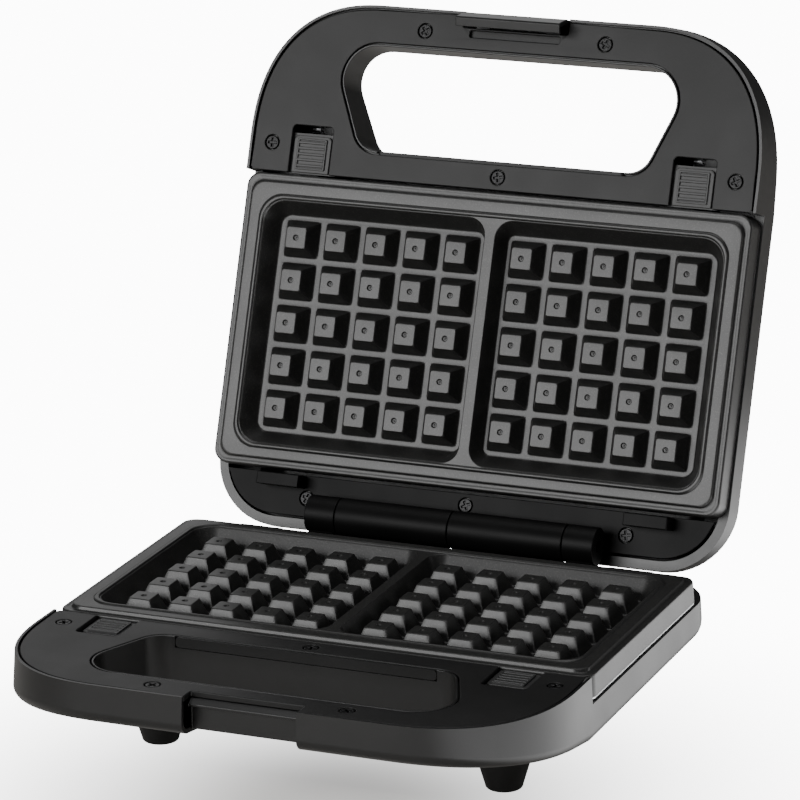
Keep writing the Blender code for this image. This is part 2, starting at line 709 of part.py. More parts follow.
def release_button(half, side, frame, mat, steel):
    """A sliding button above a flange that the panel holds down, and the spring in front of it."""
    world_side = side if half == "base" else -side
    name = f"{half}_button_{side_name(world_side)}"
    boxes = [((-BUTTON_HALF, BUTTON_FRONT, -0.0050), (BUTTON_HALF, STEP_Y - 0.0004, BUTTON_Z))]
    node = piece(name, boxes_mesh(name, boxes), mat, frame, (side * BUTTON_X, 0, 0))
    flange = [((-0.0112, BUTTON_FRONT - 0.0010, -0.0062), (0.0112, STEP_Y + 0.0001, -0.0042))]
    flange_tool = tool(f"{name} flange", boxes_mesh("button flange", flange), frame)
    flange_tool.location = (side * BUTTON_X, 0, 0)
    boolean(node, flange_tool, "UNION")
    spring = tube_mesh("button spring", coil_points(0.0024, 0.0070, 4.0), 0.00035, 0)
    start = BUTTON_FRONT - 0.0010 - 0.0008 - 0.0070
    piece(f"{half}_button_spring_{side_name(world_side)}", spring, steel, frame,
          (side * BUTTON_X, start, -0.0075))
    return node


def latch_profile():
    """Outer face, tip and hook in Y and Z, relative to the latch's axis."""
    outer = CASE_FRONT + 0.0004 - LATCH_AXIS_Y
    tail = LATCH_TAIL_Z - LATCH_AXIS_Z
    rim = -LATCH_AXIS_Z
    tip = HOOK_TIP_Z - LATCH_AXIS_Z
    hook = outer + HOOK_LEAN + HOOK_LENGTH
    inner = outer + LATCH_THICKNESS
    return ((outer, tail), (outer, rim), (outer + HOOK_LEAN, tip), (hook, tip - 0.0004),
            (hook, tip - 0.0017), (outer + HOOK_LEAN + 0.0015, tip - 0.0020),
            (inner, rim + 0.0004), (inner, tail))


def extruded_along_x(name, profile, half):
    bm = bmesh.new()
    left = [bm.verts.new((-half, y, z)) for y, z in profile]
    face = bm.faces.new(left)
    moved = bmesh.ops.extrude_face_region(bm, geom=[face])["geom"]
    verts = [v for v in moved if isinstance(v, bmesh.types.BMVert)]
    bmesh.ops.translate(bm, verts=verts, vec=(2 * half, 0, 0))
    return finish_mesh(bm, name)


def latch(frame, mat, steel):
    """Rocking front latch: a plate in the lid's front wall, a hook at its tip and two lugs on a pin."""
    axis = empty("latch_axis", frame, (0, LATCH_AXIS_Y, LATCH_AXIS_Z))
    node = piece("latch", extruded_along_x("latch", latch_profile(), LATCH_HALF), mat, axis)
    back = CASE_FRONT + 0.0020 - LATCH_AXIS_Y
    lugs = []
    for x in (-LATCH_LUG_X, LATCH_LUG_X):
        lugs.append(((x - 0.0030, back, -0.0026), (x + 0.0030, 0.0026, 0.0026)))
    boolean(node, tool("latch lugs", boxes_mesh("lugs", lugs), axis), "UNION")
    boolean(node, tool("latch bore", bar_mesh("bore", -0.03, 0.03, 0, 0, LATCH_PIN + GAP, 14), axis), "DIFFERENCE")
    piece("latch_pin", bar_mesh("latch_pin", -0.0262, 0.0262, 0, 0, LATCH_PIN, 14), steel, axis)
    coil = [(along - 0.0070, y, z) for y, along, z in coil_points(0.0022, 0.0140, 5.0)]
    piece("latch_spring", tube_mesh("latch_spring", coil, 0.00035, 0), steel, axis)
    return node


def catch(frame, mat):
    """The block in the base's front wall: a sloping top that lifts the hook, and an undercut that holds it."""
    profile = ((-0.1319, -0.0043), (-0.1349, -0.0060), (-0.1349, -0.0070), (-0.1319, -0.0074),
               (-0.1322, CATCH_BOTTOM), (CATCH_BACK, CATCH_BOTTOM), (CATCH_BACK, -0.0043))
    return piece("catch", extruded_along_x("catch", profile, LATCH_SLOT_HALF - GAP), mat, frame)


def open_front_of_base(shell, frame):
    box = ((-LATCH_SLOT_HALF, CASE_FRONT - 0.003, -0.0240), (LATCH_SLOT_HALF, -0.1262, 0.002))
    boolean(shell, tool("catch opening", boxes_mesh("catch opening", [box]), frame), "DIFFERENCE")


def open_front_of_lid(shell, frame):
    box = ((-LATCH_SLOT_HALF, CASE_FRONT - 0.003, LATCH_OPENING_Z), (LATCH_SLOT_HALF, CASE_FRONT + 0.0026, 0.002))
    boolean(shell, tool("latch opening", boxes_mesh("latch opening", [box]), frame), "DIFFERENCE")
    ears = []
    for x in (-LATCH_EAR_X, LATCH_EAR_X):
        ears.append(((x - 0.0010, LATCH_AXIS_Y - 0.0025, -0.0182), (x + 0.0010, LATCH_AXIS_Y + 0.0025, -0.0046)))
    boolean(shell, tool("latch ears", boxes_mesh("latch ears", ears), frame), "UNION")
    bore = bar_mesh("ear bores", -0.030, 0.030, LATCH_AXIS_Y, LATCH_AXIS_Z, LATCH_PIN + GAP, 14)
    boolean(shell, tool("ear bores", bore, frame), "DIFFERENCE")


# ---------------------------------------------------------------- feet, electrics and lamps

def feet(frame, mat):
    top = BELLY_Z["base"] - GAP
    profile = [(0.0, top), (FOOT_TOP_RADIUS, top), (FOOT_BOTTOM_RADIUS + 0.0005, -CLOSING_HEIGHT + 0.0015),
               (FOOT_BOTTOM_RADIUS - 0.0008, -CLOSING_HEIGHT), (0.0, -CLOSING_HEIGHT)]
    mesh = turned_mesh("foot", profile, 24)
    for end, y in (("front", FOOT_FRONT_Y), ("rear", FOOT_BACK_Y)):
        for side in (-1, 1):
            piece(f"foot_{end}_{side_name(side)}", mesh, mat, frame, (side * FOOT_X, y, 0), smooth=True)


def electrics(frame, ceramic, steel, rubber):
    """What is under the heating pan: thermostat, thermal fuse, terminal block and the cord's grommet."""
    cap = [(0.0, -0.0218), (0.0072, -0.0218), (0.0072, -0.0236), (0.0062, -0.0236), (0.0062, -0.0290), (0.0, -0.0290)]
    piece("thermostat", turned_mesh("thermostat", cap, 20), ceramic, frame, (0, 0.010, 0))
    fuse = [(0.0, 0.0), (0.0016, -0.0010), (0.0019, -0.0020), (0.0019, -0.0110), (0.0009, -0.0130), (0.0, -0.0130)]
    piece("thermal_fuse", turned_mesh("thermal_fuse", fuse, 14), steel, frame, (0.034, 0.010, -0.0242),
          (0, math.pi / 2, 0))
    block = piece("terminal_block", boxes_mesh("terminal_block", [((-0.012, -0.007, 0), (0.012, 0.007, 0.009))]),
                  ceramic, frame, (-0.045, 0.046, -0.0337))
    ways = posts_mesh("ways", ((-0.008, 0.0), (0.0, 0.0), (0.008, 0.0)), 0.003, 0.012, 0.0022)
    ways_tool = tool("terminal ways", ways, frame)
    ways_tool.location = block.location
    boolean(block, ways_tool, "DIFFERENCE")
    ring = [(0.0025, 0.0042), (0.0034, 0.0042), (0.0040, 0.0036), (0.0040, 0.0017), (0.0033, 0.0017),
            (0.0033, -0.0017), (0.0038, -0.0017), (0.0038, -0.0032), (0.0025, -0.0032), (0.0025, 0.0042)]
    piece("cord_grommet", turned_mesh("cord_grommet", ring, 20), rubber, frame, GROMMET,
          (-math.pi / 2 - GROMMET_TILT, 0, 0))


def grommet_hole(shell, frame):
    bm = bmesh.new()
    matrix = Matrix.Translation(GROMMET) @ Matrix.Rotation(-math.pi / 2 - GROMMET_TILT, 4, "X")
    bmesh.ops.create_cone(bm, cap_ends=True, segments=16, radius1=0.0037, radius2=0.0037, depth=0.012, matrix=matrix)
    boolean(shell, tool("grommet hole", finish_mesh(bm, "grommet hole"), frame), "DIFFERENCE")


def lamps(shell, frame, red, green):
    """Two indicator lenses in the top of the lid."""
    floor = BELLY_Z["lid"]
    places = ((-LAMP_X, LAMP_Y), (LAMP_X, LAMP_Y))
    holes = tool("lamp holes", posts_mesh("lamp holes", places, floor - 0.002, floor + 0.004, 0.0034), frame)
    boolean(shell, holes, "DIFFERENCE")
    lens = [(0.0, 0.0050), (0.0031, 0.0050), (0.0031, -0.0002), (0.0018, -0.0009), (0.0, -0.0011)]
    mesh = turned_mesh("lens", lens, 18)
    piece("power_lens", mesh, red, frame, (*places[0], floor), smooth=True)
    piece("ready_lens", mesh.copy(), green, frame, (*places[1], floor), smooth=True)


# ---------------------------------------------------------------- assembly

def common_half(half, frame, mats):
    shell = case_shell(half, frame, mats["case"])
    front_panel(half, frame, mats["panel"])
    rear_panel(half, frame, mats["rear"])
    screws(half, frame, mats["screw"])
    pan(half, frame, mats["pan"])
    heating_element(half, frame, mats["element"])
    for side in (-1, 1):
        release_button(half, side, frame, mats["button"], mats["steel"])
    return shell


def build():
    mats = {
        "case": material("satin case plastic", (0.020, 0.020, 0.021), 0.35),
        "panel": material("textured panel plastic", (0.024, 0.024, 0.025), 0.45),
        "rear": material("rear cover plastic", (0.014, 0.014, 0.015), 0.40),
        "plate": material("nonstick coated aluminium", (0.075, 0.074, 0.073), 0.45, 0.3),
        "pan": material("aluminised steel", (0.45, 0.45, 0.46), 0.35, 1.0),
        "element": material("element sheath", (0.20, 0.19, 0.18), 0.45, 1.0),
        "button": material("button plastic", (0.045, 0.045, 0.046), 0.45),
        "screw": material("black screws", (0.010, 0.010, 0.010), 0.35, 0.8),
        "steel": material("spring steel", (0.55, 0.55, 0.56), 0.30, 1.0),
        "foot": material("foot plastic", (0.008, 0.008, 0.008), 0.40),
        "ceramic": material("ceramic", (0.70, 0.67, 0.60), 0.60),
        "rubber": material("rubber", (0.012, 0.012, 0.012), 0.70),
        "red": material("red lens", (0.55, 0.02, 0.01), 0.15),
        "green": material("green lens", (0.03, 0.45, 0.06), 0.15),
    }
    base = empty("base_frame", None, (0, -BOX_MIDDLE_Y, CLOSING_HEIGHT))
    hinge = empty("lid_hinge_axis", base, (0, HINGE_Y, 0), (-OPEN_ANGLE, 0, 0))
    lid = empty("lid_frame", hinge, (0, -HINGE_Y, 0), (0, math.pi, 0))

    base_shell = common_half("base", base, mats)
    open_front_of_base(base_shell, base)
    grommet_hole(base_shell, base)
    catch(base, mats["case"])
    feet(base, mats["foot"])
    electrics(base, mats["ceramic"], mats["steel"], mats["rubber"])
    hinge_knuckles(base, mats["rear"], mats["steel"])

    lid_shell = common_half("lid", lid, mats)
    open_front_of_lid(lid_shell, lid)
    lamps(lid_shell, lid, mats["red"], mats["green"])
    hinge_barrels(lid, mats["rear"])
    latch(lid, mats["case"], mats["steel"])

    plate("plate_lower", base, mats["plate"])
    plate("plate_upper", lid, mats["plate"])


clear_scene()
PARTS = new_collection("waffle_maker")
CUTTERS = new_collection("cutters")
build()
bpy.context.view_layer.update()
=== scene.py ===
# An open waffle maker: two hinged halves, ribbed release buttons, a front latch and two removable grid
# plates.
import json
import math

import bmesh
import bpy
import numpy as np
from mathutils import Matrix, Vector


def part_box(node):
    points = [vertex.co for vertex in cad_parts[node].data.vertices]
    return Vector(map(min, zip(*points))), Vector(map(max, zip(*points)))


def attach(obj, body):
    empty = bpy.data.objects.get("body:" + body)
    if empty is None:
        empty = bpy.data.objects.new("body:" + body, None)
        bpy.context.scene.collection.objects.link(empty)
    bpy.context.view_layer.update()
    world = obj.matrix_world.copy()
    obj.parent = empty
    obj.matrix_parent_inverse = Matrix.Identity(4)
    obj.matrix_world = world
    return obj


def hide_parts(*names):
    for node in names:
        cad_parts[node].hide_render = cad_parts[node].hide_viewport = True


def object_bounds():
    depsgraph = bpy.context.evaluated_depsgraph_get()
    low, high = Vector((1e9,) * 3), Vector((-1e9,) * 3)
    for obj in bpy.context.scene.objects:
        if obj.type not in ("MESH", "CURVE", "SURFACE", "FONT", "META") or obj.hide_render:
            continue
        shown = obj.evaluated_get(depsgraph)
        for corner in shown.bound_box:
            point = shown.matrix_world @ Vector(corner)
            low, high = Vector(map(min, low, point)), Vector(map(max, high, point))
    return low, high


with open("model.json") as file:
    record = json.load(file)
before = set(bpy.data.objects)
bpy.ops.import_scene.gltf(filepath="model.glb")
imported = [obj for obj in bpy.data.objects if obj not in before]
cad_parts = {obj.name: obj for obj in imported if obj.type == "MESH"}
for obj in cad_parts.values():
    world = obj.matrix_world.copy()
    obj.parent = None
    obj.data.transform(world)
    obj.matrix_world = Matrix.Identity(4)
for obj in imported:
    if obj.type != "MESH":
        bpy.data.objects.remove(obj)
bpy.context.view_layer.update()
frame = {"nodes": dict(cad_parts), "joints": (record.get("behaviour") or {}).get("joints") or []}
nodes = frame["nodes"]
print("frame loaded:", len(nodes), "parts")

# Both halves are modelled in one frame of their own: zero is the closing plane over the middle of the
# waffle
# grid, the front is at -Y and the body is below. The lid's frame is the base's, turned over and swung open.
hinge = next(joint for joint in frame["joints"] if joint["name"] == "lid_hinge")
hingePoint = Vector(hinge["pos_m"])
hingeBehind = 0.0802
openAngle = math.radians(min(hinge["range_deg"]))
baseFrame = Matrix.Translation((0, hingePoint.y - hingeBehind, hingePoint.z))
lidFrame = (Matrix.Translation(hingePoint) @ Matrix.Rotation(openAngle, 4, "X")
            @ Matrix.Translation((0, -hingeBehind, 0)) @ Matrix.Rotation(math.pi, 4, "Y"))
halves = {"base": baseFrame, "lid": lidFrame}


# A part's box in the base's frame: its two corners less the frame's own place.
def halfBox(node):
    return [np.array(corner) - np.array(baseFrame.translation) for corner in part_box(node)]


# Each shape is a dictionary of points, faces and loops that are still to be filled.

# Quads between neighbouring rings of a (rings, points, 3) array; each ring is closed on itself.
def skin(rings, caps="both"):
    rings = np.asarray(rings, float)
    count, around = rings.shape[:2]
    index = np.arange(count * around).reshape(count, around)
    after = np.roll(index, -1, axis=1)
    quads = np.stack([index[:-1], after[:-1], after[1:], index[1:]], axis=-1).reshape(-1, 4)
    faces = quads.tolist()
    if caps == "both":
        faces.append(index[0].tolist())
    if caps in ("both", "last"):
        faces.append(index[-1].tolist())
    return {"points": rings.reshape(-1, 3), "faces": faces, "fills": []}


# The same, with ends closed by level rungs: the second half of each ring mirrors its first half in X.
def rungSkin(rings):
    shape = skin(rings, caps="none")
    count, around = np.asarray(rings).shape[:2]
    first = np.arange(around // 2 - 1)
    rungs = np.stack([first, first + 1, around - 2 - first, around - 1 - first], axis=-1)
    shape["faces"] += rungs.tolist() + (rungs + (count - 1) * around).tolist()
    return shape


# Moves an outline sideways by a distance: the normal of each corner is the sum of its two sides' normals,
# stretched so that both sides move by the whole distance.
def offset(outline, distance):
    ahead = np.roll(outline, -1, axis=0) - outline
    ahead /= np.linalg.norm(ahead, axis=1)[:, None]
    normal = np.stack([ahead[:, 1], -ahead[:, 0]], axis=1)
    both = normal + np.roll(normal, 1, axis=0)
    share = np.sum(both * normal, axis=1)
    return outline + distance * both / np.maximum(share, 0.3)[:, None]


# A flat piece cut to outlines (the first goes counter-clockwise, openings clockwise), with its edges
# rounded:
# at a turn t from the rim the outline is drawn in by edge * (1 - sin t) and the height by
# edge * (1 - cos t).
def sheet(outlines, low, high, topEdge=0.0003, lowEdge=0.0, steps=3):
    shape = {"points": [], "faces": [], "fills": [[], []]}
    start = 0
    turns = np.linspace(0, math.pi / 2, steps + 1)
    for outline in outlines:
        outline = np.asarray(outline, float)
        levels = [(topEdge * (1 - math.sin(t)), high - topEdge * (1 - math.cos(t))) for t in turns]
        if lowEdge:
            levels += [(lowEdge * (1 - math.cos(t)), low + lowEdge * (1 - math.sin(t))) for t in turns]
        else:
            levels.append((0.0, low))
        rings = [np.column_stack([offset(outline, -inset), np.full(len(outline), z)])
                 for inset, z in levels]
        part = skin(rings, caps="none")
        shape["points"].append(part["points"])
        shape["faces"] += (np.array(part["faces"]) + start).tolist()
        shape["fills"][0].append(np.arange(len(outline)) + start)
        start += len(part["points"])
        shape["fills"][1].append(np.arange(start - len(outline), start))
    shape["points"] = np.concatenate(shape["points"])
    return shape


# Swaps or turns axes: each new coordinate is an old one's number with a sign, such as (2, 0, 1).
def swapped(shape, order):
    return {**shape, "points": shape["points"][:, list(order)]}


def moved(shape, shift):
    return {**shape, "points": shape["points"] + np.asarray(shift, float)}


def arc(centre, radius, start, end, steps):
    turn = np.radians(np.linspace(start, end, steps + 1))
    return np.column_stack([centre[0] + radius * np.cos(turn), centre[1] + radius * np.sin(turn)])


def circle(centre, radius, steps=32):
    return arc(centre, radius, 360, 0, steps)[:-1]


# The right half of an outline, from the front to the back, and then its mirror image back to the front.
def mirrored(half):
    return np.concatenate([half, half[::-1] * (-1, 1)])


def roundedRectangle(half, front, back, radius, steps=8):
    right = [arc((half - radius, front + radius), radius, -90, 0, steps),
             arc((half - radius, back - radius), radius, 0, 90, steps)]
    return mirrored(np.concatenate(right))


# Replaces each corner of a polygon with an arc of its own radius that touches both sides.
def roundCorners(corners, radii, steps=6):
    points = []
    for i, (corner, radius) in enumerate(zip(corners, radii)):
        here = np.array(corner, float)
        if radius <= 0:
            points.append(here[None])
            continue
        back = np.array(corners[i - 1], float) - here
        ahead = np.array(corners[(i + 1) % len(corners)], float) - here
        back /= np.linalg.norm(back)
        ahead /= np.linalg.norm(ahead)
        half = math.acos(np.clip(back @ ahead, -1, 1)) / 2
        middle = (back + ahead) / np.linalg.norm(back + ahead)
        centre = here + middle * radius / math.sin(half)
        first = here + back * radius / math.tan(half) - centre
        last = here + ahead * radius / math.tan(half) - centre
        between = math.pi - 2 * half
        share = np.linspace(0, 1, steps + 1)[:, None]
        points.append(centre + (np.sin((1 - share) * between) * first + np.sin(share * between) * last)
                      / math.sin(between))
    return np.concatenate(points)


# A box with all its edges rounded: a rounded rectangle in plan, drawn in along a quarter circle at both
# ends.
def softBox(low, high, edge, steps=3):
    low, high = np.array(low, float), np.array(high, float)
    middle = (low + high) / 2
    size = (high - low) / 2
    plan = roundedRectangle(size[0], -size[1], size[1], edge, 5) + middle[:2]
    return sheet([plan], low[2], high[2], edge, edge, steps)


# A profile of (radius, height) pairs turned about Z.
def turned(profile, steps=40):
    profile = np.array(profile, float)
    turn = np.linspace(0, 2 * math.pi, steps, endpoint=False)
    rings = np.stack([profile[:, :1] * np.cos(turn), profile[:, :1] * np.sin(turn),
                      np.repeat(profile[:, 1:], steps, axis=1)], axis=-1)
    return skin(rings, caps="none" if profile[0, 0] == profile[-1, 0] != 0 else "both")


# Objects.

# Joins shapes into one mesh in the model's place, fills the open loops and turns all faces outward.
def meshFrom(name, shapes, place):
    start = 0
    points, faces, fills = [], [], []
    for shape in shapes:
        points.append(shape["points"])
        faces += [[i + start for i in face] for face in shape["faces"]]
        fills += [[loop + start for loop in fill] for fill in shape["fills"]]
        start += len(shape["points"])
    points = np.concatenate(points)
    points = np.column_stack([points, np.ones(len(points))]) @ np.array(place).T
    mesh = bpy.data.meshes.new(name)
    mesh.from_pydata(points[:, :3].tolist(), [], faces)
    bm = bmesh.new()
    bm.from_mesh(mesh)
    bm.verts.ensure_lookup_table()
    for fill in fills:
        edges = []
        for loop in fill:
            pairs = [(bm.verts[a], bm.verts[b]) for a, b in zip(loop, np.roll(loop, -1))]
            edges += [bm.edges.get(pair) or bm.edges.new(pair) for pair in pairs]
        bmesh.ops.triangle_fill(bm, use_beauty=True, edges=edges)
    bmesh.ops.remove_doubles(bm, verts=bm.verts, dist=0.000002)
    bmesh.ops.dissolve_degenerate(bm, edges=bm.edges, dist=0.000002)
    bmesh.ops.recalc_face_normals(bm, faces=bm.faces)
    bm.to_mesh(mesh)
    bm.free()
    return mesh


# Cuts and joins solids one after another and keeps the result as one mesh.
def carved(name, start, steps, place):
    target = bpy.data.objects.new(name, meshFrom(name, [start], place))
    bpy.context.scene.collection.objects.link(target)
    helpers = [target]
    for operation, shapes in steps:
        for shape in shapes:
            helper = bpy.data.objects.new("helper", meshFrom("helper", [shape], place))
            bpy.context.scene.collection.objects.link(helper)
            helpers.append(helper)
            step = target.modifiers.new(operation, "BOOLEAN")
            step.operation = operation
            step.solver = "MANIFOLD"
            step.object = helper
    graph = bpy.context.evaluated_depsgraph_get()
    mesh = bpy.data.meshes.new_from_object(target.evaluated_get(graph))
    for helper in helpers:
        bpy.data.objects.remove(helper)
    bm = bmesh.new()
    bm.from_mesh(mesh)
    bmesh.ops.remove_doubles(bm, verts=bm.verts, dist=0.000005)
    bmesh.ops.dissolve_degenerate(bm, edges=bm.edges, dist=0.000005)
    bmesh.ops.dissolve_limit(bm, angle_limit=math.radians(0.05), verts=bm.verts, edges=bm.edges)
    bm.to_mesh(mesh)
    bm.free()
    return mesh


# Makes a piece of a mesh: its material, its body, the parts that it stands for and its material slot.
def addPiece(name, mesh, material, body, stands, edge=0.0):
    piece = bpy.data.objects.new(name, mesh)
    bpy.context.scene.collection.objects.link(piece)
    mesh.materials.clear()
    mesh.materials.append(material)
    mesh.shade_smooth()
    mesh.set_sharp_from_angle(angle=math.radians(40))
    if edge:
        rounded = piece.modifiers.new("rounded edges", "BEVEL")
        rounded.width = edge
        rounded.segments = 2
        rounded.limit_method = "ANGLE"
        rounded.angle_limit = math.radians(38)
        rounded.miter_outer = "MITER_ARC"
    flatter = piece.modifiers.new("flat faces stay flat", "WEIGHTED_NORMAL")
    flatter.keep_sharp = True
    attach(piece, body)
    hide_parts(*stands)
    print("made", name, len(mesh.polygons), "faces")
    return piece


# Materials.

# Linear light from an sRGB hex colour: c / 12.92 in the darkest part, ((c + 0.055) / 1.055) ^ 2.4 above it.
def linear(code):
    channels = [int(code[i:i + 2], 16) / 255 for i in (0, 2, 4)]
    return [c / 12.92 if c <= 0.04045 else ((c + 0.055) / 1.055) ** 2.4 for c in channels] + [1.0]


# Adds a node with its settings; an input is a value or another node's output.
def addNode(tree, kind, inputs=None, **settings):
    node = tree.nodes.new(kind)
    for key, value in settings.items():
        setattr(node, key, value)
    for key, value in (inputs or {}).items():
        if isinstance(value, bpy.types.NodeSocket):
            tree.links.new(value, node.inputs[key])
        else:
            node.inputs[key].default_value = value
    return node


def newMaterial(name):
    material = bpy.data.materials.new(name)
    material.use_nodes = True
    tree = material.node_tree
    place = addNode(tree, "ShaderNodeTexCoord").outputs["Object"]
    return material, tree, tree.nodes["Principled BSDF"], place


# Blends two hex colours by a factor socket and gives the colour socket.
def blended(tree, factor, first, second):
    mix = addNode(tree, "ShaderNodeMix", data_type="RGBA", blend_type="MIX")
    tree.links.new(factor, mix.inputs["Factor"])
    colours = [socket for socket in mix.inputs if socket.type == "RGBA"]
    for socket, colour in zip(colours, (first, second)):
        if isinstance(colour, str):
            socket.default_value = linear(colour)
        else:
            tree.links.new(colour, socket)
    return next(socket for socket in mix.outputs if socket.type == "RGBA")


cloudSize = 0.03


# A surface with a fine grain: grain size and depth are in metres, and a broad cloud varies colour and
# roughness.
def grained(name, dark, light, rough, grain, depth, metallic=0.0, specular=0.5):
    material, tree, shader, place = newMaterial(name)
    fine = addNode(tree, "ShaderNodeTexNoise",
                   {"Vector": place, "Scale": 1 / grain, "Detail": 3.0, "Roughness": 0.6}).outputs["Fac"]
    broad = addNode(tree, "ShaderNodeTexNoise",
                    {"Vector": place, "Scale": 1 / cloudSize, "Detail": 4.0,
                     "Roughness": 0.55}).outputs["Fac"]
    both = addNode(tree, "ShaderNodeMath", {0: fine, 1: broad}, operation="MULTIPLY").outputs[0]
    amount = addNode(tree, "ShaderNodeMapRange",
                     {"Value": both, "From Min": 0.12, "From Max": 0.42}).outputs[0]
    tree.links.new(blended(tree, amount, dark, light), shader.inputs["Base Color"])
    rougher = addNode(tree, "ShaderNodeMapRange", {"Value": broad, "From Min": 0.3, "From Max": 0.7,
                                                   "To Min": rough - 0.03, "To Max": rough + 0.03})
    tree.links.new(rougher.outputs[0], shader.inputs["Roughness"])
    relief = addNode(tree, "ShaderNodeBump", {"Height": fine, "Distance": depth, "Strength": 1.0})
    tree.links.new(relief.outputs[0], shader.inputs["Normal"])
    shader.inputs["Metallic"].default_value = metallic
    shader.inputs["Specular IOR Level"].default_value = specular
    return material


# Cast aluminium with a sprayed and baked non-stick coat: a satin grey film with pale mineral flecks.
def coatedAluminium():
    material, tree, shader, place = newMaterial("Non-stick coated cast aluminium, sprayed and baked")
    fleck = addNode(tree, "ShaderNodeTexNoise",
                    {"Vector": place, "Scale": 1500.0, "Detail": 2.0, "Roughness": 0.7})
    chosen = addNode(tree, "ShaderNodeMapRange",
                     {"Value": fleck.outputs["Fac"], "From Min": 0.54, "From Max": 0.72})
    cloud = addNode(tree, "ShaderNodeTexNoise",
                    {"Vector": place, "Scale": 45.0, "Detail": 4.0}).outputs["Fac"]
    film = blended(tree, cloud, "202020", "282827")
    tree.links.new(blended(tree, chosen.outputs[0], film, "444341"), shader.inputs["Base Color"])
    peel = addNode(tree, "ShaderNodeTexNoise",
                   {"Vector": place, "Scale": 1100.0, "Detail": 3.0, "Roughness": 0.65})
    relief = addNode(tree, "ShaderNodeBump",
                     {"Height": peel.outputs["Fac"], "Distance": 0.000030, "Strength": 1.0})
    tree.links.new(relief.outputs[0], shader.inputs["Normal"])
    rougher = addNode(tree, "ShaderNodeMapRange", {"Value": cloud, "To Min": 0.33, "To Max": 0.40})
    tree.links.new(rougher.outputs[0], shader.inputs["Roughness"])
    return material


# A clear coloured lens with a faint haze.
def lens(name, colour):
    material, tree, shader, place = newMaterial(name)
    haze = addNode(tree, "ShaderNodeTexNoise",
                   {"Vector": place, "Scale": 900.0, "Detail": 3.0}).outputs["Fac"]
    rougher = addNode(tree, "ShaderNodeMapRange", {"Value": haze, "To Min": 0.06, "To Max": 0.16})
    tree.links.new(rougher.outputs[0], shader.inputs["Roughness"])
    shader.inputs["Base Color"].default_value = linear(colour)
    shader.inputs["Transmission Weight"].default_value = 0.6
    shader.inputs["IOR"].default_value = 1.58
    return material


casePlastic = grained("ABS plastic, moulded with a satin finish", "131313", "1c1c1c", 0.36, 0.00035,
                      0.000006)
panelPlastic = grained("ABS plastic, moulded in a spark-eroded tool", "181818", "222222", 0.46, 0.00028,
                       0.000016,
                       specular=0.32)
coverPlastic = grained("Phenolic plastic, compression moulded", "0a0a0a", "101010", 0.46, 0.00045, 0.000008,
                       specular=0.12)
buttonPlastic = grained("ABS plastic, moulded in an etched tool", "303030", "3c3c3c", 0.46, 0.00030,
                        0.000012)
footPlastic = grained("Polypropylene, moulded", "0a0a0a", "121212", 0.34, 0.0006, 0.000008)
plateCoat = coatedAluminium()
bareEdge = grained("Cast aluminium, machined bare edge", "c9cacb", "e4e5e6", 0.30, 0.0004, 0.000004,
                   metallic=1.0)
panSteel = grained("Aluminised steel, hot dipped and pressed", "8f9092", "b3b4b5", 0.36, 0.0012,
                   0.00001, metallic=1.0)
sheath = grained("Stainless steel sheath, drawn and heat darkened", "59534c", "7b746a", 0.42, 0.0009,
                 0.00001, metallic=1.0)
screwSteel = grained("Carbon steel, black oxide finish", "181818", "2a2a2b", 0.38, 0.0002, 0.000006,
                     metallic=0.7)
springSteel = grained("Spring steel wire, drawn", "9b9c9e", "bcbdbf", 0.28, 0.0002, 0.000004, metallic=1.0)
steatite = grained("Steatite ceramic, fired", "cfc8b8", "e2dccd", 0.55, 0.0003, 0.000015)
rubber = grained("Neoprene rubber, moulded", "131313", "1e1e1e", 0.62, 0.0004, 0.00001)
redLens = lens("Polycarbonate, moulded clear red", "b41612")
greenLens = lens("Polycarbonate, moulded clear green", "1fa83c")
print("materials made")


# Case outline, shared by shells and panels.

case = {"cornerX": 0.060, "cornerY": -0.078, "power": 2.4, "backRadius": 0.028, "draft": 0.0010,
        "wall": 0.0020, "edgeRadius": 0.0050, "step": -0.0650, "sideRim": -0.0125, "sideRimWidth": 0.0035,
        "sideRimDepth": 0.0022}
shellLow, shellHigh = halfBox("base_shell")
caseHalf = shellHigh[0] - case["draft"]
caseFront = shellLow[1] + case["draft"]
caseBack = shellHigh[1] - case["draft"]
rimHeight = shellHigh[2]
panelHigh = halfBox("base_panel")[1]
panelTop = panelHigh[2]
panelThickness = 0.0022
panelInset = 0.0015
gap = 0.0003


# Half of the case outline: a quarter of |x/a|^n + |y/b|^n = 1 at the front corner, the straight side and a
# quarter circle at the back corner.
def halfOutline(inset=0.0, steps=36):
    turn = np.linspace(0, math.pi / 2, steps + 1)
    power = 2 / case["power"]
    across = np.sin(turn) ** power
    along = np.clip(np.cos(turn), 0, 1) ** power
    front = np.column_stack([case["cornerX"] + (caseHalf - case["cornerX"] - inset) * across,
                             case["cornerY"] - (case["cornerY"] - caseFront - inset) * along])
    side = [(caseHalf - inset, y) for y in (case["step"] - 0.001, -0.03, 0.0, 0.03)]
    radius = case["backRadius"]
    back = arc((caseHalf - radius, caseBack - radius), radius - inset, 0, 90, 14)
    return np.concatenate([front, side, back])


# The part of the half outline in front of a line across the case, or behind it.
def halfBefore(limit, inset):
    half = halfOutline(inset)
    return np.concatenate([half[half[:, 1] < limit], [(caseHalf - inset, limit)]])


def halfBehind(limit, inset):
    half = halfOutline(inset)
    return np.concatenate([[(caseHalf - inset, limit)], half[half[:, 1] > limit]])


handle = {"front": -0.1225, "back": -0.0773, "frontHalf": 0.0827, "backHalf": 0.0641,
          "frontRadius": 0.0145, "backRadius": 0.0105}


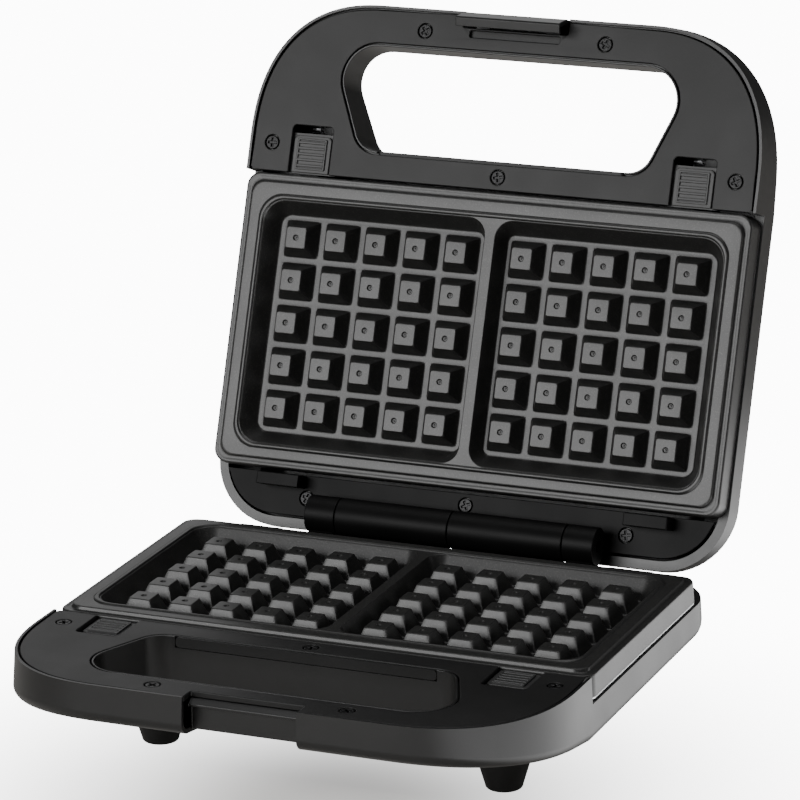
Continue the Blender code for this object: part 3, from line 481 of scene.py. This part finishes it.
# The handle opening: a trapezium with round corners; its sides move outward by a distance.
def handleOutline(grow=0.0, steps=12):
    corners = [(handle["frontHalf"], handle["front"]), (handle["backHalf"], handle["back"]),
               (-handle["backHalf"], handle["back"]), (-handle["frontHalf"], handle["front"])]
    radii = [handle["frontRadius"], handle["backRadius"], handle["backRadius"], handle["frontRadius"]]
    return offset(roundCorners(corners, radii, steps), grow)


def level(outline, z):
    return np.column_stack([outline, np.broadcast_to(z, len(outline))])


# Shells.

belly = {"front": -0.075, "back": 0.0855, "half": 0.112, "top": -0.0205}
bellyBottom = {"base": shellLow[2], "lid": shellLow[2] + 0.0020}
undersideY = (caseFront, -0.0660, 0.0600, caseBack)
undersideZ = (-0.0172, -0.0285, -0.0278, -0.0243)


# The case's volume: a rounded rim, drafted walls and a quarter circle that turns into the sloping
# underside.
def mainBody(inset, lift, top, rimEdge=0.0):
    radius = case["edgeRadius"] - lift
    rings = [level(mirrored(halfOutline(inset + rimEdge * (1 - math.sin(turn)))),
                   top - rimEdge * (1 - math.cos(turn)))
             for turn in (np.linspace(0, math.pi / 2, 4) if rimEdge else [0.0])]
    for turn in np.linspace(0, math.pi / 2, 9):
        outline = mirrored(halfOutline(inset - case["draft"] + radius * (1 - math.cos(turn))))
        rise = lift + radius * (1 - math.sin(turn))
        rings.append(level(outline, np.interp(outline[:, 1], undersideY, undersideZ) + rise))
    return rungSkin(rings)


# The deeper middle of the case: sloping sides and a soft turn into the flat bottom.
def bellyBody(inset, top, bottom):
    share = np.linspace(0, 1, 7)
    drawIn = np.concatenate([[0.0, 0.0115], 0.0115 + 0.0065 * share[1:]])
    height = np.concatenate([[top, bottom + 0.0030], bottom + 0.0030 * (1 - share[1:]) ** 2])
    rings = []
    for pull, z in zip(drawIn, height):
        side = belly["half"] - inset - pull
        front = belly["front"] + inset + pull * 0.33
        back = belly["back"] - inset - pull * 0.36
        rings.append(level(roundedRectangle(side, front, back, 0.026 - inset - pull * 0.38, 12), z))
    return rungSkin(rings)


def box(low, high):
    corners = roundCorners([(high[0], low[1]), (high[0], high[1]), (low[0], high[1]), (low[0], low[1])],
                           [0] * 4)
    return sheet([corners], low[2], high[2], 0.0)


frontScrews = ((-0.1055, -0.0773), (0.1055, -0.0773), (-0.0410, -0.1305), (0.0410, -0.1305), (0.0, -0.0705))
rearScrews = ((-0.0730, 0.0740), (0.0730, 0.0740), (0.0, 0.0692))
latchSlotHalf = 0.0240
boss = {"radius": 0.0034, "bore": 0.0015}
lamp = {"x": 0.012, "y": -0.058, "radius": 0.0034}
holeLip = 0.0009
rearTop = -0.0110
rearThickness = 0.0020
blockTop = {"base": -0.0045, "lid": -0.0017}


def makeShell(half):
    place = halves[half]
    bottom = bellyBottom[half]
    wall = case["wall"]
    deep = bottom - 0.004
    under = panelTop - panelThickness + gap
    posts = [sheet([circle(at, boss["radius"])[::-1]], deep, under, 0.0) for at in frontScrews]
    posts += [sheet([circle(at, boss["radius"])[::-1]], deep, rearTop - rearThickness - gap, 0.0)
              for at in rearScrews]
    rimOuter = halfBehind(case["step"] - 0.0005, 0.0005)
    rimInner = halfBehind(case["step"] - 0.0005, case["sideRimWidth"])
    rim = np.concatenate([mirrored(rimOuter), mirrored(rimInner)[::-1]])
    rimPiece = sheet([rim], case["sideRim"] - case["sideRimDepth"], case["sideRim"] + 0.001, 0.0)
    cavity = carved("cavity", mainBody(wall, wall, 0.003), [
        ("UNION", [bellyBody(wall, -0.0185, bottom + wall)]),
        ("DIFFERENCE", [sheet([handleOutline(wall)], deep, under, 0.0)] + posts + [rimPiece]),
    ], Matrix.Identity(4))
    cavityShape = {"points": np.array([v.co for v in cavity.vertices]),
                   "faces": [list(p.vertices) for p in cavity.polygons], "fills": []}
    seat = sheet([mirrored(halfBefore(case["step"] + 0.003, panelInset - gap))],
                 panelTop - panelThickness - gap, 0.004, 0.0)
    flangeSeat = box((-0.0563, handle["back"] - 0.003, -0.0066), (0.0563, handle["back"] + 0.0025, 0.002))
    sideCut = box((-0.13, case["step"], case["sideRim"]), (0.13, 0.10, 0.006))
    bores = [sheet([circle(at, boss["bore"], 16)[::-1]], -0.0145, 0.002, 0.0) for at in frontScrews]
    bores += [sheet([circle(at, boss["bore"], 16)[::-1]], -0.0215, 0.002, 0.0) for at in rearScrews]
    cuts = [cavityShape, sheet([handleOutline()], deep, 0.005, 0.0), seat, flangeSeat, sideCut] + bores
    joins = []
    if half == "base":
        cuts.append(box((-latchSlotHalf, caseFront - 0.003, -0.0240), (latchSlotHalf, -0.1262, 0.002)))
    else:
        cuts.append(box((-latchSlotHalf, caseFront - 0.003, -0.0144),
                        (latchSlotHalf, caseFront + 0.0026, 0.002)))
        for x in (-0.0254, 0.0254):
            joins.append(box((x - 0.0010, -0.1355, -0.0182), (x + 0.0010, -0.1305, -0.0046)))
        for x in (-lamp["x"], lamp["x"]):
            cuts.append(sheet([circle((x, lamp["y"]), lamp["radius"])[::-1]], bottom - 0.002,
                              bottom + 0.004, 0.0))
    joins.append(sheet([handleOutline(holeLip), handleOutline()[::-1]], panelTop - 0.0030,
                       panelTop - 0.0001, 0.0003))
    mesh = carved(f"{half}_shell_moulding", mainBody(0.0, 0.0, rimHeight), [
        ("UNION", [bellyBody(0.0, belly["top"], bottom)]), ("DIFFERENCE", cuts), ("UNION", joins),
        ("DIFFERENCE", [flangeSeat])], place)
    return addPiece(f"{half}_shell_moulding", mesh, casePlastic, half, [f"{half}_shell"], 0.00035)


for half in halves:
    makeShell(half)


# Front panels.

buttonX = 0.0870
slot = {"half": 0.0095, "front": -0.0858, "radius": 0.0018}
screwHead = 0.0029
pocketFront, pocketBack = -0.1322, -0.1292


def makePanel(half):
    low = panelTop - panelThickness
    edge = halfBefore(case["step"], panelInset + 2 * gap)
    notchBack = -0.1318 if half == "base" else -0.1332
    corners = [(0.0, notchBack), (latchSlotHalf, notchBack), (latchSlotHalf, caseFront + panelInset)]
    radii = [0, 0.0008, 0.0005]
    corners += [tuple(p) for p in edge[:-1]]
    radii += [0] * (len(edge) - 1)
    corners += [(edge[-1][0], case["step"]), (buttonX + slot["half"], case["step"]),
                (buttonX + slot["half"], slot["front"]), (buttonX - slot["half"], slot["front"]),
                (buttonX - slot["half"], case["step"]), (0.0, case["step"])]
    radii += [0.0012, 0.0004, slot["radius"], slot["radius"], 0.0004, 0]
    right = roundCorners(corners, radii, 5)
    outline = np.concatenate([right, (right[1:-1] * (-1, 1))[::-1]])
    openings = [handleOutline(holeLip + 2 * gap)[::-1]] + [
        circle(at, screwHead + 0.0004) for at in frontScrews]
    flange = swapped(sheet([roundedRectangle(0.0560, -0.0063, panelTop - 0.0004, 0.0015)],
                           0.0, 0.00166, 0.0003), (0, 2, 1))
    flange = moved(flange, (0, handle["back"] + 0.00004, 0))
    shapes = [flange]
    if half == "lid":
        pocket = roundedRectangle(0.0205, pocketFront, pocketBack, 0.0008)
        openings.append(pocket[::-1])
        shapes.append(box((-0.0215, pocketFront - 0.0008, low - 0.0009),
                          (0.0215, pocketBack + 0.0008, low + 0.0001)))
    shapes.append(sheet([outline] + openings, low, panelTop, 0.0004))
    mesh = meshFrom(f"{half}_handle_panel", shapes, halves[half])
    return addPiece(f"{half}_handle_panel", mesh, panelPlastic, half, [f"{half}_panel"])


for half in halves:
    makePanel(half)


# Rear panels.

def makeRearPanel(half):
    right = halfBehind(0.0642, case["sideRimWidth"] + 0.0011)
    outline = mirrored(right)
    openings = [circle(at, screwHead + 0.0004) for at in rearScrews]
    shapes = [sheet([outline] + openings, rearTop - rearThickness, rearTop, 0.0003)]
    for x in (-0.08375, 0.08375):
        shapes.append(softBox((x - 0.00975, 0.0646, rearTop - 0.001),
                              (x + 0.00975, 0.0700, blockTop[half]), 0.0004))
    mesh = meshFrom(f"{half}_rear_cover", shapes, halves[half])
    return addPiece(f"{half}_rear_cover", mesh, coverPlastic, half, [f"{half}_rear_panel"])


for half in halves:
    makeRearPanel(half)


# Screws: a pan head with a cross recess, a floor under the recess and a plain shank.

screwShank = 0.0090


def crossOutline(arm, width):
    corner = [(arm, -width), (arm, width), (width, width), (width, arm), (-width, arm), (-width, width),
              (-arm, width), (-arm, -width), (-width, -width), (-width, -arm), (width, -arm),
              (width, -width)]
    return np.array(corner)[::-1]


def makeScrew(name, half, at, top, turn):
    spin = np.array([[math.cos(turn), -math.sin(turn)], [math.sin(turn), math.cos(turn)]])
    head = sheet([circle((0, 0), screwHead, 36)[::-1], crossOutline(0.0019, 0.00042) @ spin.T],
                 -0.0009, 0.0, 0.0003, 0.0, 4)
    floor = turned([(0.0, -0.0009), (screwHead - 0.0003, -0.0009), (screwHead - 0.0003, -0.0012),
                    (0.0011, -0.0012),
                    (0.0011, -screwShank), (0.0, -screwShank - 0.0010)], 24)
    shapes = [moved(shape, (at[0], at[1], top)) for shape in (head, floor)]
    mesh = meshFrom(f"{name}_head", shapes, halves[half])
    addPiece(f"{name}_head", mesh, screwSteel, half, [name])


for half in halves:
    for i, at in enumerate(frontScrews):
        makeScrew(f"{half}_panel_screw_{i + 1}", half, at, panelTop - 0.0002, 0.5 + 1.1 * i)
    for i, at in enumerate(rearScrews):
        makeScrew(f"{half}_rear_screw_{i + 1}", half, at, rearTop - 0.0001, 0.2 + 0.9 * i)


# Waffle plates.

grid = {"pitch": 0.0185, "rows": 5, "innerApart": 0.0300, "pegTop": 0.0092, "pegFoot": 0.0155,
        "topZ": -0.00165,
        "floorZ": -0.0097}
plateLow, plateHigh = halfBox("plate_lower")
plateHalf, plateFront, plateBack, plateEdge = plateHigh[0], plateLow[1], plateHigh[1], plateLow[2]


# Distance from a rounded square's centre to its side along each direction: half / max(|cos|, |sin|) on a
# flat
# side, and the far crossing with the corner's circle where the ray meets a corner.
def squareReach(turn, half, corner):
    c, s = np.abs(np.cos(turn)), np.abs(np.sin(turn))
    flat = half / np.maximum(c, s)
    inner = half - corner
    along = inner * (c + s)
    reach = along + np.sqrt(np.maximum(corner ** 2 - 2 * inner ** 2 + along ** 2, 0))
    return np.where(np.minimum(c, s) * flat > inner, reach, flat)


# One peg with its share of the floor: rings of (half size, corner radius, height) from the cell's edge
# up the
# sloping sides, over the rounded top edge and down into the round dimple.
def pegCell(x, y, perSide=10):
    share = (np.arange(perSide) / perSide * 2 - 1)
    square = np.concatenate([np.column_stack([np.ones(perSide), share]),
                             np.column_stack([-share, np.ones(perSide)]),
                             np.column_stack([-np.ones(perSide), -share]),
                             np.column_stack([share, -np.ones(perSide)])])
    turn = np.arctan2(square[:, 1], square[:, 0])
    low, top = grid["floorZ"], grid["topZ"]
    foot, head = grid["pegFoot"] / 2, grid["pegTop"] / 2
    cell = grid["pitch"] / 2
    rings = [(cell, 0.0, low), (foot + 0.00045, 0.0011, low), (foot + 0.0001, 0.0009, low + 0.0001),
             (foot - 0.0002, 0.0008, low + 0.0005), (head + 0.00020, 0.00075, top - 0.00042),
             (head + 0.00008, 0.0007, top - 0.00018), (head - 0.00010, 0.0007, top - 0.00004),
             (head - 0.00030, 0.00065, top), (0.00170, 0.00170, top), (0.00134, 0.00134, top),
             (0.00124, 0.00124, top - 0.00010), (0.00108, 0.00108, top - 0.00058),
             (0.00086, 0.00086, top - 0.00075),
             (0.00044, 0.00044, top - 0.00070), (0.00026, 0.00026, top - 0.00048),
             (0.00001, 0.00001, top - 0.00044)]
    points = []
    for half, corner, z in rings:
        reach = squareReach(turn, half, corner)
        points.append(np.column_stack([x + reach * np.cos(turn), y + reach * np.sin(turn),
                                       np.full(len(turn), z)]))
    return skin(points, caps="last")


# One cavity: the top edge rounds into sloping walls, a fillet leads to the floor, and pegs fill a square
# of cells.
def cavity(side):
    inner, outer, front, back = 0.0024, 0.1043, -0.0523, 0.0523
    lower = grid["floorZ"]
    upper = -0.0010
    slope = np.array([0.0029, 0.0045, 0.0048, 0.0048])
    rings = []
    for share, z in ((-0.10, upper), (-0.05, upper - 0.00006), (0.0, upper - 0.0003),
                     (0.04, upper - 0.0007),
                     (0.93, lower + 0.0009), (0.97, lower + 0.0004), (1.04, lower + 0.0001), (1.12, lower)):
        left, right, near, far = inner + slope[0] * share, outer - slope[1] * share, front + slope[2] * share, \
            back - slope[3] * share
        outerRadius = 0.0095 - 0.0045 * share
        innerRadius = 0.0075 - 0.0040 * share
        corners = [(right, near), (right, far), (left, far), (left, near)]
        outline = roundCorners(corners, [outerRadius, outerRadius, innerRadius, innerRadius], 10)
        rings.append(level(outline * (side, 1), z))
    walls = skin(rings, caps="none")
    around = len(rings[0])
    low = grid["pitch"] * grid["rows"] / 2
    left = grid["innerApart"] / 2 - grid["pitch"] / 2
    steps = 10 * grid["rows"]
    edge = np.linspace(0, 1, steps, endpoint=False)
    wide = grid["pitch"] * grid["rows"]
    square = np.concatenate([np.column_stack([left + wide * edge, np.full(steps, -low)]),
                             np.column_stack([np.full(steps, left + wide), -low + wide * edge]),
                             np.column_stack([left + wide * (1 - edge), np.full(steps, low)]),
                             np.column_stack([np.full(steps, left), low - wide * edge])]) * (side, 1)
    floorLoop = {"points": level(square, lower), "faces": [], "fills": []}
    shapes = [walls, floorLoop]
    for column in range(grid["rows"]):
        for row in range(grid["rows"]):
            x = side * (grid["innerApart"] / 2 + grid["pitch"] * column)
            shapes.append(pegCell(x, grid["pitch"] * (row - (grid["rows"] - 1) / 2)))
    lastRing = np.arange(around) + (len(rings) - 1) * around
    squareRing = np.arange(len(square)) + len(walls["points"])
    return shapes, np.arange(around), lastRing, squareRing


def makePlate(name, half):
    rim = [(plateHalf - 0.0012, plateFront + 0.0012, plateBack - 0.0012, 0.0050, plateEdge + 0.0004),
           (plateHalf - 0.0009, plateFront + 0.0009, plateBack - 0.0009, 0.0052, plateEdge),
           (plateHalf - 0.0003, plateFront + 0.0003, plateBack - 0.0003, 0.0058, plateEdge),
           (plateHalf, plateFront, plateBack, 0.0060, plateEdge + 0.0003),
           (plateHalf, plateFront, plateBack, 0.0060, plateEdge + 0.0009),
           (plateHalf - 0.0004, plateFront + 0.0004, plateBack - 0.0004, 0.0060, -0.0032),
           (plateHalf - 0.0005, plateFront + 0.0005, plateBack - 0.0005, 0.0060, -0.0025),
           (plateHalf - 0.0008, plateFront + 0.0008, plateBack - 0.0008, 0.0058, -0.00210),
           (plateHalf - 0.0012, plateFront + 0.0012, plateBack - 0.0012, 0.0056, -0.0020),
           (plateHalf - 0.0020, plateFront + 0.0020, plateBack - 0.0020, 0.0052, -0.0020),
           (plateHalf - 0.0023, plateFront + 0.0023, plateBack - 0.0023, 0.0050, -0.0022),
           (0.1124, -0.0610, 0.0596, 0.0055, -0.0022), (0.1121, -0.0607, 0.0593, 0.0055, -0.0020),
           (0.1118, -0.0604, 0.0591, 0.0056, -0.0010), (0.1115, -0.0601, 0.0588, 0.0058, -0.00075),
           (0.1110, -0.0596, 0.0583, 0.0062, -0.0007), (0.1072, -0.0555, 0.0551, 0.0105, -0.0007),
           (0.1069, -0.0552, 0.0548, 0.0105, -0.0009), (0.1067, -0.0550, 0.0546, 0.0104, -0.0007),
           (0.1064, -0.0547, 0.0543, 0.0103, -0.00035), (0.1060, -0.0542, 0.0540, 0.0102, -0.00025),
           (0.1054, -0.0536, 0.0534, 0.0100, -0.00025), (0.1051, -0.0533, 0.0531, 0.0099, -0.00045),
           (0.1048, -0.0529, 0.0528, 0.0098, -0.0010)]
    rings = [level(roundedRectangle(h, f, b, r, 10), z) for h, f, b, r, z in rim]
    shapes = [skin(rings, caps="none")]
    start = len(shapes[0]["points"])
    around = len(rings[0])
    topLoops = [np.arange(around) + start - around]
    for side in (1, -1):
        parts, first, last, square = cavity(side)
        topLoops.append(first + start)
        shapes[0]["fills"].append([last + start, square + start])
        shapes += parts
        start += sum(len(part["points"]) for part in parts)
    shapes[0]["fills"].append(topLoops)
    under = [(plateHalf - 0.0012, plateFront + 0.0012, plateBack - 0.0012, 0.0050, plateEdge + 0.0004),
             (plateHalf - 0.0026, plateFront + 0.0026, plateBack - 0.0026, 0.0044, -0.0050),
             (plateHalf - 0.0040, plateFront + 0.0040, plateBack - 0.0040, 0.0044, -0.0044),
             (0.1075, -0.0555, 0.0550, 0.0085, -0.0044), (0.1015, -0.0492, 0.0492, 0.0055, -0.0118),
             (0.1008, -0.0485, 0.0485, 0.0050, -0.0123)]
    rings = [level(roundedRectangle(h, f, b, r, 10), z) for h, f, b, r, z in under]
    shapes.append(skin(rings, caps="last"))
    mesh = meshFrom(f"{name}_casting", shapes, halves[half])
    piece = addPiece(f"{name}_casting", mesh, plateCoat, name, [name])
    mesh.materials.append(bareEdge)
    points = np.empty(len(mesh.vertices) * 3)
    mesh.vertices.foreach_get("co", points)
    points = np.column_stack([points.reshape(-1, 3), np.ones(len(mesh.vertices))])
    points = points @ np.array(halves[half].inverted()).T
    for face in mesh.polygons:
        corners = points[list(face.vertices)]
        outside = (np.abs(corners[:, 0]) > plateHalf - 0.0011) | (corners[:, 1] < plateFront + 0.0011) \
            | (corners[:, 1] > plateBack - 0.0011)
        if outside.all() and corners[:, 2].max() < plateEdge + 0.00095:
            face.material_index = 1
    return piece


makePlate("plate_lower", "base")
makePlate("plate_upper", "lid")


# Release buttons.

button = {"half": 0.00865, "front": -0.0815, "top": -0.0022, "frameHalf": 0.0068, "frameInner": 0.0060,
          "ribs": 5, "ribPitch": 0.0025}


def makeButton(half, side):
    worldSide = side if half == "base" else -side
    name = f"{half}_button_{'left' if worldSide < 0 else 'right'}"
    back = case["step"] - 0.0004
    width = button["half"]
    floor = button["top"] - 0.0009
    plan = roundCorners([(width, button["front"]), (width, back), (-width, back),
                         (-width, button["front"])],
                        [0.0020, 0.0005, 0.0005, 0.0020])
    middle = (button["front"] + back) / 2
    shapes = [sheet([plan], -0.0052, floor, 0.0003)]
    outer, inner = [roundCorners([(r, middle - r), (r, middle + r), (-r, middle + r), (-r, middle - r)],
                                 [edge] * 4)
                    for r, edge in ((button["frameHalf"], 0.0006), (button["frameInner"], 0.0004))]
    shapes.append(sheet([outer, inner[::-1]], floor - 0.0003, button["top"] - 0.0001, 0.0002))
    for i in range(button["ribs"]):
        y = middle + (i - (button["ribs"] - 1) / 2) * button["ribPitch"]
        shapes.append(softBox((-0.0062, y - 0.0006, floor - 0.0003),
                              (0.0062, y + 0.0006, button["top"]), 0.0003))
    shapes.append(box((-0.0112, button["front"] - 0.0010, -0.0062),
                      (0.0112, case["step"] + 0.0001, -0.0044)))
    shapes = [moved(shape, (side * buttonX, 0, 0)) for shape in shapes]
    mesh = meshFrom(f"{name}_cap", shapes, halves[half])
    addPiece(f"{name}_cap", mesh, buttonPlastic, name, [name])


for half in halves:
    for side in (-1, 1):
        makeButton(half, side)


# Hinge: barrels of the lid between knuckles of the base.

barrel = {"radius": 0.0081, "length": 0.0512, "gap": 0.0004, "knuckle": 0.0136, "chamfer": 0.0005,
          "bore": 0.0028}


def makeSleeve(name, half, x0, x1, webFrom, webTo, stands):
    r, c, bore = barrel["radius"], barrel["chamfer"], barrel["bore"]
    profile = [(bore, 0.0), (r - c, 0.0), (r - 0.3 * c, 0.15 * c), (r, c), (r, x1 - x0 - c),
               (r - 0.3 * c, x1 - x0 - 0.15 * c), (r - c, x1 - x0), (bore, x1 - x0), (bore, 0.0)]
    body = moved(swapped(turned(profile, 64), (2, 0, 1)), (x0, hingeBehind, 0))
    foot = softBox((webFrom, hingeBehind - 0.0060, rearTop + gap),
                   (webTo, hingeBehind + 0.0030, -0.0050), 0.0004)
    mesh = meshFrom(f"{name}_sleeve", [body, foot], halves[half])
    addPiece(f"{name}_sleeve", mesh, coverPlastic, half, stands)


for side, sideName in ((-1, "left"), (1, "right")):
    inner = barrel["gap"] / 2 + barrel["length"] + barrel["gap"]
    x0, x1 = sorted((side * inner, side * (inner + barrel["knuckle"])))
    makeSleeve(f"hinge_knuckle_{sideName}", "base", x0, x1, x0 + 0.001, x1 - 0.001,
               [f"hinge_knuckle_{sideName}"])
    x0, x1 = sorted((-side * barrel["gap"] / 2, -side * (barrel["gap"] / 2 + barrel["length"])))
    makeSleeve(f"hinge_barrel_{sideName}", "lid", x0, x1, x0 + 0.002, x1 - 0.002,
               [f"hinge_barrel_{sideName}"])


# Latch and catch.

latch = {"axisY": -0.1330, "axisZ": -0.0080, "half": 0.0235, "pin": 0.00125}
latchSide = [(-0.0067, -0.0044), (-0.0067, 0.0080), (-0.0036, 0.0172), (-0.0028, 0.0174), (0.0006, 0.0164),
             (0.0004, 0.0158), (-0.0019, 0.0156), (-0.0046, 0.0084), (-0.0046, -0.0044)]
latchRadii = [0.0002, 0.0020, 0.0004, 0.0004, 0.0003, 0.0003, 0.0006, 0.0020, 0.0002]


# An outline in Y and Z carried along X, with its two ends rounded.
def acrossX(outline, half, edge):
    return swapped(sheet([outline], -half, half, edge, edge), (2, 0, 1))


bar = acrossX(roundCorners(latchSide, latchRadii, 6)[::-1], latch["half"], 0.0004)
lugs = [box((x - 0.0030, -0.0052, -0.0026), (x + 0.0030, 0.0026, 0.0026)) for x in (-0.0160, 0.0160)]
shapes = [moved(shape, (0, latch["axisY"], latch["axisZ"])) for shape in [bar] + lugs]
addPiece("latch_lever", meshFrom("latch_lever", shapes, lidFrame), casePlastic, "latch", ["latch"])

catchSide = [(-0.1319, -0.0043), (-0.1349, -0.0060), (-0.1349, -0.0070), (-0.1319, -0.0074),
             (-0.1322, -0.0172),
             (-0.1265, -0.0172), (-0.1265, -0.0043)]
block = acrossX(roundCorners(catchSide, [0.0004, 0.0004, 0.0003, 0.0004, 0.0006, 0.0004, 0.0004], 5)[::-1],
                latchSlotHalf - gap, 0.0003)
addPiece("catch_block", meshFrom("catch_block", [block], baseFrame), casePlastic, "base", ["catch"])


# Feet.

footTop, footBottom = 0.0130, 0.0072
low, high = halfBox("foot_front_left")
turn = np.linspace(0, math.pi / 2, 7)
rounding = 0.0016
profile = [(0.0, high[2]), (footTop, high[2]), (footTop, high[2] - 0.0008)]
profile += [(footBottom + 0.0005 - rounding * (1 - math.cos(t)),
             low[2] + rounding * (1 - math.sin(t))) for t in turn]
profile.append((0.0, low[2]))
for end in ("front", "rear"):
    for sideName in ("left", "right"):
        node = f"foot_{end}_{sideName}"
        corner, other = halfBox(node)
        centre = ((corner + other) / 2)[:2]
        mesh = meshFrom(f"{node}_cone", [moved(turned(profile, 56), (*centre, 0))], baseFrame)
        addPiece(f"{node}_cone", mesh, footPlastic, "base", [node])


# Parts shown as they are, with their own materials.

def dress(material, *names):
    for name in names:
        mesh = nodes[name].data
        mesh.materials.clear()
        mesh.materials.append(material)


dress(panSteel, "base_pan", "lid_pan")
dress(sheath, "base_heating_element", "lid_heating_element")
dress(steatite, "thermostat", "terminal_block")
dress(springSteel, "thermal_fuse", "hinge_pin_left", "hinge_pin_right", "latch_pin", "latch_spring",
      "base_button_spring_left", "base_button_spring_right", "lid_button_spring_left",
      "lid_button_spring_right")
dress(rubber, "cord_grommet")
dress(redLens, "power_lens")
dress(greenLens, "ready_lens")
print("inner parts dressed")


# Stage, light and camera.

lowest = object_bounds()[0].z
stageMesh = bpy.data.meshes.new("floor")
stageMesh.from_pydata([(-6, -6, lowest), (6, -6, lowest), (6, 6, lowest), (-6, 6, lowest)], [],
                      [(0, 1, 2, 3)])
floor = bpy.data.objects.new("floor", stageMesh)
bpy.context.scene.collection.objects.link(floor)
floorMaterial, tree, shader, place = newMaterial("Paper backdrop, matt, with a painted reflection patch")
wash = addNode(tree, "ShaderNodeTexNoise", {"Vector": place, "Scale": 3.0, "Detail": 2.0}).outputs["Fac"]
tree.links.new(blended(tree, wash, "e6e2dc", "ebe8e3"), shader.inputs["Base Color"])
shader.inputs["Roughness"].default_value = 0.6
# To the camera alone the floor also glows white: faintly near the case, fully farther out.
centre = addNode(tree, "ShaderNodeMapping",
                 {"Vector": place, "Location": (-0.02, 0.12, 0.0), "Scale": (1.0, 1.0, 0.0)})
reach = addNode(tree, "ShaderNodeVectorMath", {0: centre.outputs[0]}, operation="LENGTH").outputs["Value"]
fade = addNode(tree, "ShaderNodeMapRange",
               {"Value": reach, "From Min": 0.02, "From Max": 0.31, "To Min": 0.03},
               interpolation_type="SMOOTHSTEP").outputs[0]
glow = addNode(tree, "ShaderNodeEmission", {"Color": (1.0, 1.0, 1.0, 1.0), "Strength": 12.0})
rays = addNode(tree, "ShaderNodeLightPath")
seen = addNode(tree, "ShaderNodeMath", {0: fade, 1: rays.outputs["Is Camera Ray"]},
               operation="MULTIPLY").outputs[0]
mixed = addNode(tree, "ShaderNodeMixShader", {0: seen, 1: shader.outputs[0], 2: glow.outputs[0]})
# Painted reflection: a patch of floor to the right of the case glows only in glossy rays, painting a pale
# reflection onto the case's right walls.
aside = addNode(tree, "ShaderNodeSeparateXYZ", {0: place})
near = addNode(tree, "ShaderNodeMapRange",
               {"Value": aside.outputs["Y"], "From Min": 0.50, "From Max": 0.25},
               interpolation_type="SMOOTHSTEP").outputs[0]
rightward = addNode(tree, "ShaderNodeMapRange",
                    {"Value": aside.outputs["X"], "From Min": 0.11, "From Max": 0.16},
                    interpolation_type="SMOOTHSTEP").outputs[0]
paintedReflectionPatch = addNode(tree, "ShaderNodeMath", {0: near, 1: rightward}, operation="MULTIPLY").outputs[0]
paintedReflectionMask = addNode(tree, "ShaderNodeMath", {0: paintedReflectionPatch, 1: rays.outputs["Is Glossy Ray"]},
                    operation="MULTIPLY").outputs[0]
paintedReflectionGlow = addNode(tree, "ShaderNodeEmission", {"Color": (1.0, 1.0, 1.0, 1.0), "Strength": 3.0})
both = addNode(tree, "ShaderNodeMixShader", {0: paintedReflectionMask, 1: mixed.outputs[0], 2: paintedReflectionGlow.outputs[0]})
tree.links.new(both.outputs[0], tree.nodes["Material Output"].inputs["Surface"])
stageMesh.materials.append(floorMaterial)

world = bpy.data.worlds.new("studio")
world.use_nodes = True
bpy.context.scene.world = world
sky = world.node_tree.nodes["Background"]
sky.inputs["Color"].default_value = (1.0, 1.0, 1.0, 1.0)
sky.inputs["Strength"].default_value = 0.06


# A soft box: a rectangular light that faces a point of the object.
def softLight(name, position, target, size, power):
    light = bpy.data.lights.new(name, "AREA")
    light.shape = "RECTANGLE"
    light.size, light.size_y = size
    light.energy = power
    lamp = bpy.data.objects.new(name, light)
    lamp.location = position
    lamp.rotation_euler = (Vector(target) - Vector(position)).to_track_quat("-Z", "Y").to_euler()
    bpy.context.scene.collection.objects.link(lamp)


softLight("front softbox", (-0.80, -2.1, 0.95), (0, 0, 0.15), (1.5, 0.9), 40)
softLight("top softbox", (0.0, 0.3, 1.9), (0, 0, 0.1), (1.5, 1.2), 12)
softLight("right softbox", (1.9, 1.2, 0.5), (0, 0, 0.1), (1.0, 0.9), 6)
softLight("rear softbox", (-1.3, 2.2, 0.9), (0, 0, 0.1), (1.8, 1.2), 6)

camera = bpy.data.cameras.new("camera")
camera.sensor_width = 36
camera.lens = 214.77
camera.clip_end = 100
eye = bpy.data.objects.new("camera", camera)
right = Vector((0.92411, 0.38189, -0.01380))
up = Vector((-0.09873, 0.27349, 0.95679))
back = Vector((0.36916, -0.88282, 0.29044))
eye.matrix_world = Matrix.Translation((0.71892, -1.71113, 0.69548)) @ Matrix((right, up,
                                                                              back)).transposed().to_4x4()
bpy.context.scene.collection.objects.link(eye)
bpy.context.scene.camera = eye
